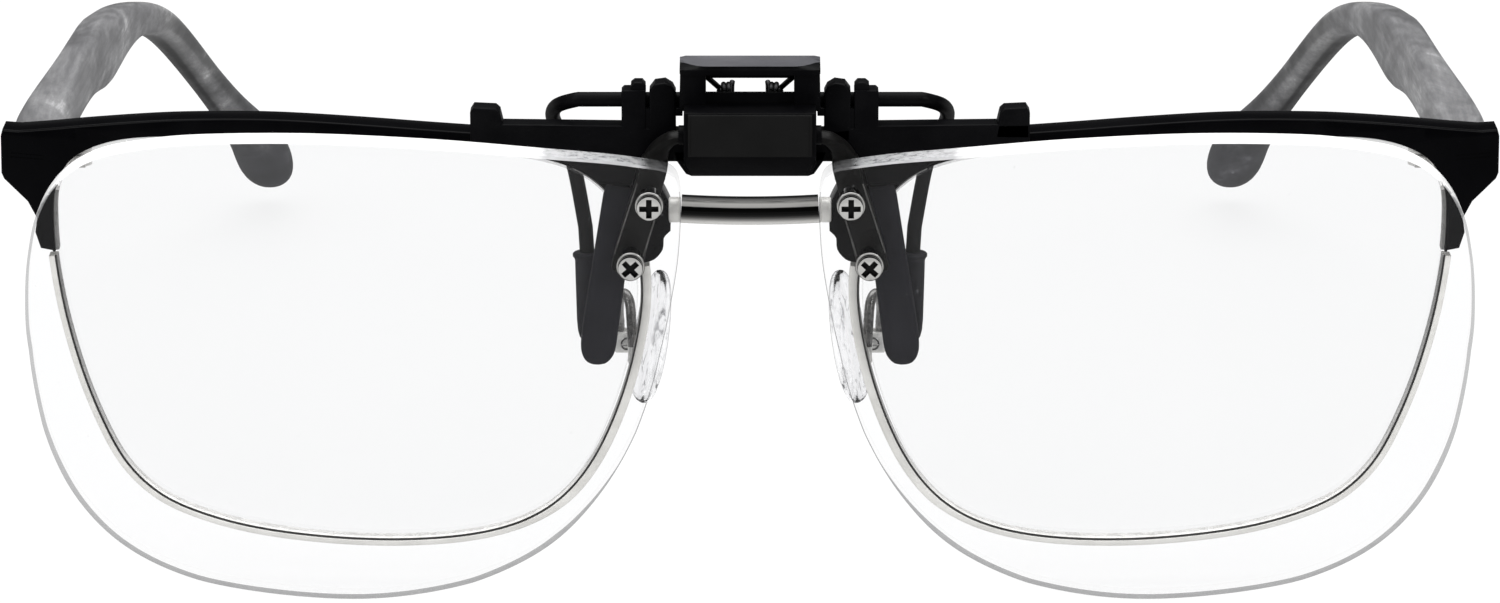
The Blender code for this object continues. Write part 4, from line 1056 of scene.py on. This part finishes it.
# faces of the pinch plate's top that take the painted sheen
def painted_sheen_top(face):
    centre = face.calc_center_median()
    on_top = centre.z > 24.7 and face.normal.z > 0.75
    return 1 if on_top and pinch_front(centre.x) < centre.y < -2.25 else 0


def add_clip():
    mesh = union(clip_bar(), *clip_side(-1), *clip_side(1),
                 slab(CENTRE_PLATE, BAR_FRONT, BAR_BACK - 0.1, 0.12),
                 clip_housing(), box(-4.6, 4.6, -4.15, -3.55, 20.5, 22.0, 0.1),
                 clip_cheek(-1), clip_cheek(1), pinch_plate())
    # bores for the two pivots, and room for the spring at the middle
    mesh = cut(mesh, rod_across(8, FLIP_Y, FLIP_Z, FLIP_R + 0.25, 32),
               rod_across(13, JAW_Y, JAW_Z, WIRE_R + 0.2, 28),
               box(-3.2, 3.2, -5.3, -0.5, 17.1, 19.6))
    piece("clip_shell", mesh, [CLIP_BLACK, SHEEN_PAINTED_BLACK], FRONT, "clip_body",
          sharp=32.0, classify=painted_sheen_top)


def add_front_plate():
    """Blank plate with a fine raised border down each side."""
    mesh = union(box(-5.9, 5.9, -8.68, -8.2, 16.85, 20.95, 0.10, 3),
                 box(-5.86, -5.66, -8.74, -8.3, 16.95, 20.85, 0.04),
                 box(5.66, 5.86, -8.74, -8.3, 16.95, 20.85, 0.04))
    piece("front_plate", mesh, [PLATE_BLACK], FRONT, "badge_plate")


# Front leg cover stations: x, z, width, depth
LEG_COVER = [(12.42, 12.2, 3.1, 1.85), (12.9, 8.9, 3.2, 1.9), (13.7, 3.4, 3.35, 1.95),
             (14.45, -1.8, 3.5, 1.95), (14.72, -4.0, 3.4, 1.9), (14.86, -5.0, 2.85, 1.6),
             (14.93, -5.6, 1.9, 1.1), (14.95, -5.85, 0.8, 0.5)]


def add_leg_cover(side, sign):
    path = smooth([station[:2] for station in LEG_COVER], 5)
    sizes = []
    for i, size in enumerate(smooth([station[2:] for station in LEG_COVER], 5)):
        end = min(1.0, 0.86 + 0.5 * i / 6)       # slightly smaller at the top
        sizes.append((size[0] * end, size[1] * end))
    bore = sweep([(sign * 12.2, LEG_Y, 13.7), (sign * 14.26, LEG_Y, -0.4)],
                 [(2.4, 1.3)] * 2, 12, 6.0)
    mesh = cut(sweep([(sign * x, LEG_Y, z) for x, z in path], sizes, 28, 4.0), bore)
    piece("leg_cover_" + side, mesh, [LEG_RUBBER], FRONT, "front_leg_cover_" + side,
          sharp=45.0)


# ------------------------------------------------------------------ rear jaw
# Wire of the +x side, from the foot of the leg up to the pivot
JAW_PATH = [(15.62, 3.42, -4.3), (15.9, 3.62, 4.4), (16.02, 3.72, 6.5), (17.2, 4.95, 12.9),
            (18.45, 5.2, 15.6), (19.05, 4.6, 17.0), (19.1, 3.1, 18.2), (18.65, 1.1, 19.35),
            (17.7, -0.75, 20.2), (16.5, JAW_Y, JAW_Z)]


def add_jaw_rod():
    half = JAW_PATH[:2] + fair(smooth(JAW_PATH[2:], 7), 10, closed=False)
    run = [(-x, y, z) for x, y, z in half] + half[::-1]
    piece("jaw_rod", tube(run, WIRE_R, 20), [CLIP_BLACK], JAW, "jaw_wire", sharp=60.0)


def lever_hub(sign):
    return bevelled(loft([[
        (x, JAW_Y - 1.15, JAW_Z - 1.0), (x, JAW_Y + 1.2, JAW_Z - 1.3), (x, 1.4, 23.9),
        (x, 0.4, 23.9), (x, JAW_Y - 0.5, JAW_Z + 1.4), (x, JAW_Y - 1.15, JAW_Z + 1.0)]
        for x in (sign * 4.5, sign * 6.3)]), 0.12)


def add_lever():
    """Two hubs on the pivot joined by a plate with ribs across its back."""
    plate = bevelled(loft([[(x, 0.25, 22.3), (x, 0.95, 22.3), (x, 1.38, 23.88),
                            (x, 0.42, 23.88)] for x in (-6.2, 6.2)]), 0.1)
    mesh = union(lever_hub(-1), plate, lever_hub(1))
    for z in (22.7, 23.15, 23.6):
        y = 0.95 + (z - 22.3) * 0.272            # the plate's sloping back
        mesh = union(mesh, box(-5.2, 5.2, y - 0.2, y + 0.12, z - 0.12, z + 0.12, 0.05))
    mesh = cut(mesh, rod_across(8, JAW_Y, JAW_Z, WIRE_R + 0.12, 28))
    piece("lever_shell", mesh, [CLIP_BLACK], JAW, "jaw_lever", sharp=32.0)


def add_leg_tube(side, sign):
    """Sleeve over the straight foot of the wire, collared on top and rounded below."""
    foot, top = [Vector((sign * x, y, z)) for x, y, z in JAW_PATH[:2]]
    down = (foot - top).normalized()
    length = (foot - top).length
    profile = [(0.4, 0.95), (0.44, 1.3), (0.55, 1.40), (0.80, 1.40), (0.95, 1.27), (1.2, 1.2),
               (3.0, 1.22), (length - 1.5, 1.25), (length - 0.5, 1.2), (length + 0.2, 1.05),
               (length + 0.65, 0.75), (length + 0.86, 0.4), (length + 0.9, 0.1)]
    mesh = cut(turned(top, down, profile, 32),
               cylinder(top - down * 1.0, foot + down * 0.25, WIRE_R + 0.02, 20))
    piece("leg_tube_" + side, mesh, [LEG_RUBBER], JAW, "rear_leg_cover_" + side,
          sharp=45.0)


def add_coil(side, sign):
    """Coil round the jaw pivot with a short arm at each end."""
    radius, turns, per_turn = WIRE_R + 0.72, 2.5, 28
    count = int(turns * per_turn)
    points = [(sign * 4.0, -4.3, 23.5), (sign * 3.45, -3.3, 22.75)]
    for k in range(count + 1):
        angle = radians(115) + 2 * pi * k / per_turn
        points.append((sign * (2.95 - 1.15 * k / count),
                       JAW_Y + radius * cos(angle), JAW_Z + radius * sin(angle)))
    points += [(sign * 1.75, -0.5, 21.85), (sign * 1.7, -0.1, 22.05)]
    piece("coil_" + side, tube(points, 0.27, 12), [SPRING_STEEL], FRONT,
          "jaw_spring_" + side, sharp=60.0)


# ------------------------------------------------------------------ flip-up magnifiers
CARRIER_NECK = [(6.6, -6.2, 18.25), (7.5, -5.95, 17.95), (8.3, -5.2, 17.15),
                (8.85, -4.5, 16.1), (9.15, -4.22, 15.0), (9.3, -4.22, 13.6)]
# Painted highlights along the edges of the carrier plate: name, start and end (x, z)
PLATE_EDGE_HIGHLIGHTS = (("outer", (10.8, 13.2), (13.0, 6.3)), ("inner", (9.15, 9.6), (10.25, 6.0)))


def screw_holes(mesh, sign, front, back):
    for _, x, z, _ in SCREWS:
        mesh = cut(mesh, cylinder((sign * x, front, z), (sign * x, back, z), HOLE_R, 28))
    return mesh


def add_carrier():
    """Pivot rod with a widening neck down to a plate with two screw holes on each side."""
    mesh = rod_across(6.8, FLIP_Y, FLIP_Z, FLIP_R - 0.08, 40)
    for sign in (-1, 1):
        path = smooth(CARRIER_NECK, 7)
        last = len(path) - 1
        sizes = [(1.35, 0.85 + 1.5 * min(1.0, 1.5 * i / last) ** 1.3)
                 for i in range(last + 1)]
        neck = sweep([(sign * x, y, z) for x, y, z in path], sizes, 22, 4.0,
                     across=(0, 1, 0.45))
        outline = fair(smooth(CARRIER_PLATE, 4, closed=True), 2)
        plate = screw_holes(slab(sided(outline, sign), -4.95, -3.5, 0.22), sign, -7, -2)
        mesh = union(mesh, neck, plate)
    # painted light: the neck and plates take the lighter black, the pivot rod the clip's own
    # black
    piece("carrier_frame", mesh, [CARRIER_BLACK_PAINTED_LIGHT, CLIP_BLACK], FLIP, "lens_carrier",
          sharp=35.0,
          classify=lambda face: 1 if abs(face.calc_center_median().x) < 6.85 else 0)


def add_plate_edges(side, sign):
    # thin raised lines in a lighter grey, painted highlights along the plate's edges
    for name, start, end in PLATE_EDGE_HIGHLIGHTS:
        run = [(sign * (start[0] + (end[0] - start[0]) * k / 12), -4.94,
                start[1] + (end[1] - start[1]) * k / 12) for k in range(13)]
        piece("plate_edge_%s_%s" % (name, side), tube(run, 0.075, 8), [PAINTED_HIGHLIGHT_RIDGE], FLIP,
              sharp=60.0)


def magnifier_outline():
    """Outline made fuller round its lower part, but no lower than its lowest station."""
    outline = fair(smooth(MAGNIFIER, 7, closed=True), 8)
    fuller = []
    for point, outer in zip(outline, inset(outline, -1.0)):
        share = fade(point[1], -28.9, -26.5) * fade(point[1], -3.0, -11.0)
        place = point + (outer - point) * 0.42 * share
        fuller.append((place[0], max(place[1], -28.73)))
    return fuller


def add_magnifier(side, sign):
    """Curved lens with a front bevel that is wide below and narrow at the nose."""
    base = [Vector(point) for point in sided(magnifier_outline(), sign)]
    inner = inset(base, 1.0)
    sections = []
    # inset, y
    for depth, y in ((0.42, 0.0), (0.02, 0.13), (0.0, 0.2), (0.0, MAGNIFIER_T - 0.15),
                     (0.15, MAGNIFIER_T)):
        ring = []
        for point, inward in zip(base, inner):
            up = (point - inward).normalized()[1]
            low = fade(up, 0.15, -0.40)
            nose = fade(abs(point[0]), 18.5, 12.5)
            bevel = 0.70 + 0.70 * low - (0.48 + 0.6 * low) * nose * (1.0 if up < 0.6 else 0.3)
            x, z = point + (inward - point) * (depth * bevel if depth > 0.3 else depth)
            ring.append((x, y, z))
        sections.append(ring)
    mesh = loft(sections)
    for face in mesh.faces:
        facing = abs(face.normal.y)
        face.material_index = 0 if facing > 0.98 else (1 if facing < 0.5 else 2)
    split(mesh, [sign * x for x in steps(8, 68, 30)], steps(-27, 17, 22))
    bend(mesh, magnifier_surface)
    piece("magnifier_" + side, screw_holes(mesh, sign, -12, -2),
          [MAGNIFIER_CLEAR, GROUND_EDGE, MAGNIFIER_LINE], FLIP,
          "magnifier_lens_" + side, sharp=25.0, weld=0)


def from_axis(point, x, z):
    return hypot(point.x - x, point.z - z)


def add_washer(tag, x, seat, z):
    """Ring with a raised rim round a sunken face in painted shade."""
    profile = [(0.0, 1.34), (0.04, 1.38), (0.2, 1.38), (0.25, 1.33), (0.25, 1.20), (0.17, 1.17)]
    mesh = cut(turned((x, seat, z), (0, -1, 0), profile, 40),
               cylinder((x, seat - 1, z), (x, seat + 1, z), 0.85, 28))

    def sunken(face):
        near = from_axis(face.calc_center_median(), x, z) < 1.185
        return 1 if near and face.normal.y < 0.5 else 0
    piece("washer_" + tag, mesh, [SCREW_HEAD_PAINTED_LIGHT, RECESS_PAINTED_SHADE], FLIP, "lens_washer_" + tag,
          classify=sunken)


def add_lens_screw(tag, x, seat, z, degrees):
    """Cross-slotted screw; the slot's floor and walls are painted dark as shade."""
    profile = [(0.0, 0.86), (0.04, 1.12), (0.30, 1.21), (0.62, 1.20), (0.76, 1.15),
               (0.81, 1.05), (0.84, 0.5), (0.85, 0.1)]
    front = seat - 0.85
    slot_length, slot_width, slot_depth = 0.92, 0.27, 0.55       # halves
    mesh = union(turned((x, seat, z), (0, -1, 0), profile, 48),
                 cylinder((x, seat - 0.2, z), (x, -3.1, z), 0.6, 24))
    place = Matrix.Translation((x, front, z)) @ Matrix.Rotation(radians(degrees), 4, 'Y')
    for across, high in ((slot_length, slot_width), (slot_width, slot_length)):
        slot = box(-across, across, -slot_depth, slot_depth, -high, high)
        bmesh.ops.transform(slot, matrix=place, verts=slot.verts)
        mesh = cut(mesh, slot)

    def recessed(face):
        centre, facing = face.calc_center_median(), face.normal.y
        floor = facing < -0.9 and centre.y > front + 0.35
        wall = abs(facing) < 0.2 and centre.y < front + 0.56
        return 1 if (floor or wall) and from_axis(centre, x, z) < 0.98 else 0
    piece("screw_" + tag, mesh, [SCREW_HEAD_PAINTED_LIGHT, RECESS_PAINTED_SHADE], FLIP, "lens_screw_" + tag,
          classify=recessed)


# ------------------------------------------------------------------ assembly
def for_sides(*builders):
    for side, sign in SIDES:
        for builder in builders:
            builder(side, sign)


def add_fixings(side, sign):
    for level, x, z, degrees in SCREWS:
        tag = level + "_" + side
        seat = magnifier_surface(x, z) - 0.32
        add_washer(tag, sign * x, seat, z)
        add_lens_screw(tag, sign * x, seat - 0.4, z, degrees * sign)


def dress_cad_node(name, material):
    """Give a CAD node that stays visible its material."""
    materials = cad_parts[name].data.materials
    materials.clear()
    materials.append(material)


for_sides(add_brow, add_rim, add_lens, add_ferrule)
add_bridge()
for_sides(add_pad_arm, add_pad, add_pad_screw)
for_sides(add_temple)
add_clip()
add_front_plate()
for_sides(add_leg_cover)
add_jaw_rod()
add_lever()
for_sides(add_leg_tube, add_coil)
add_carrier()
for_sides(add_plate_edges)
for_sides(add_magnifier, add_fixings)
for hinge_part, metal in (("front_hinge_leaf_", HINGE_STEEL),
                          ("temple_hinge_leaf_", HINGE_STEEL), ("hinge_screw_", HINGE_SCREW)):
    for side, _ in SIDES:
        dress_cad_node(hinge_part + side, metal)
dress_cad_node("flip_detent_spring", SPRING_STEEL)

# ------------------------------------------------------------------ stage, metres
AIM = Vector((0.0, FRAME_Y * MM, FRAME_Z * MM))
CAMERA_DISTANCE, CAMERA_RISE = 0.6, radians(16.5)
# Area lights: name, place from AIM, (width, height), power in watts
LIGHTS = (("top_box", (0.0, 0.15, 0.75), (0.9, 0.7), 5.0),
          ("front_left", (-0.6, -0.45, 0.5), (0.4, 0.5), 2.2),
          ("front_right", (0.6, -0.45, 0.5), (0.4, 0.5), 2.2))


def make_floor_paper():
    """Almost self-lit white; mirrors and glosses see it darker."""
    material, graph, bsdf = new_material("floor_paper")
    patch = graph.noise(graph.coords(), scale=30.0)
    graph.put(bsdf, Base_Color=graph.ramp(patch, [(0.3, 0.90), (0.7, 0.93)]),
              Roughness=0.9, Specular_IOR_Level=0.0)
    glow = graph.node("Emission", Color=WHITE, Strength=1.0)
    dark = graph.node("Emission", Color=WHITE, Strength=0.40)
    paper = graph.mix_shader(0.91, bsdf.outputs[0], glow.outputs[0])
    graph.output(graph.mix_shader(graph.mirror_ray(), paper, dark.outputs[0]))
    return material


def add_floor():
    data = bpy.data.meshes.new("floor")
    mesh = bmesh.new()
    bmesh.ops.create_grid(mesh, x_segments=2, y_segments=2, size=2.0)
    mesh.to_mesh(data)
    mesh.free()
    floor = link_object("floor", data)
    data.materials.append(make_floor_paper())


def make_world():
    """White surroundings that reflections see as a dark band between bright ends."""
    world = bpy.data.worlds.new("studio")
    bpy.context.scene.world = world
    graph = Graph(world)
    up = graph.split(graph.node("TexCoord").outputs["Generated"])["Z"]
    sky = graph.ramp(graph.remap(up, span=(-1.0, 1.0)),
                     [(0.0, 0.6), (0.46, (0.11, 0.11, 0.115)), (0.62, (0.025, 0.025, 0.026)),
                      (0.72, (0.04, 0.04, 0.042)), (0.88, 0.45), (1.0, 0.9)])
    graph.put(graph.tree.nodes["Background"],
              Color=graph.blend(graph.mirror_ray(), WHITE, sky), Strength=1.0)


def aimed(thing, offset):
    """Place a light or camera at an offset from AIM, looking at it."""
    thing.location = AIM + Vector(offset)
    thing.rotation_euler = (AIM - thing.location).to_track_quat('-Z', 'Y').to_euler()


def add_lights():
    for name, offset, size, power in LIGHTS:
        light = bpy.data.lights.new(name, 'AREA')
        light.shape = 'RECTANGLE'
        light.size, light.size_y = size
        light.energy = power
        aimed(link_object(name, light), offset)


def add_camera():
    data = bpy.data.cameras.new("camera")
    data.lens = 148.32
    data.sensor_width = 36.0
    data.clip_start = 0.01
    camera = link_object("camera", data)
    aimed(camera, (0.0, -CAMERA_DISTANCE * cos(CAMERA_RISE), CAMERA_DISTANCE * sin(CAMERA_RISE)))
    bpy.context.scene.camera = camera


add_floor()
make_world()
add_lights()
add_camera()
bpy.context.scene.view_settings.view_transform = 'Standard'
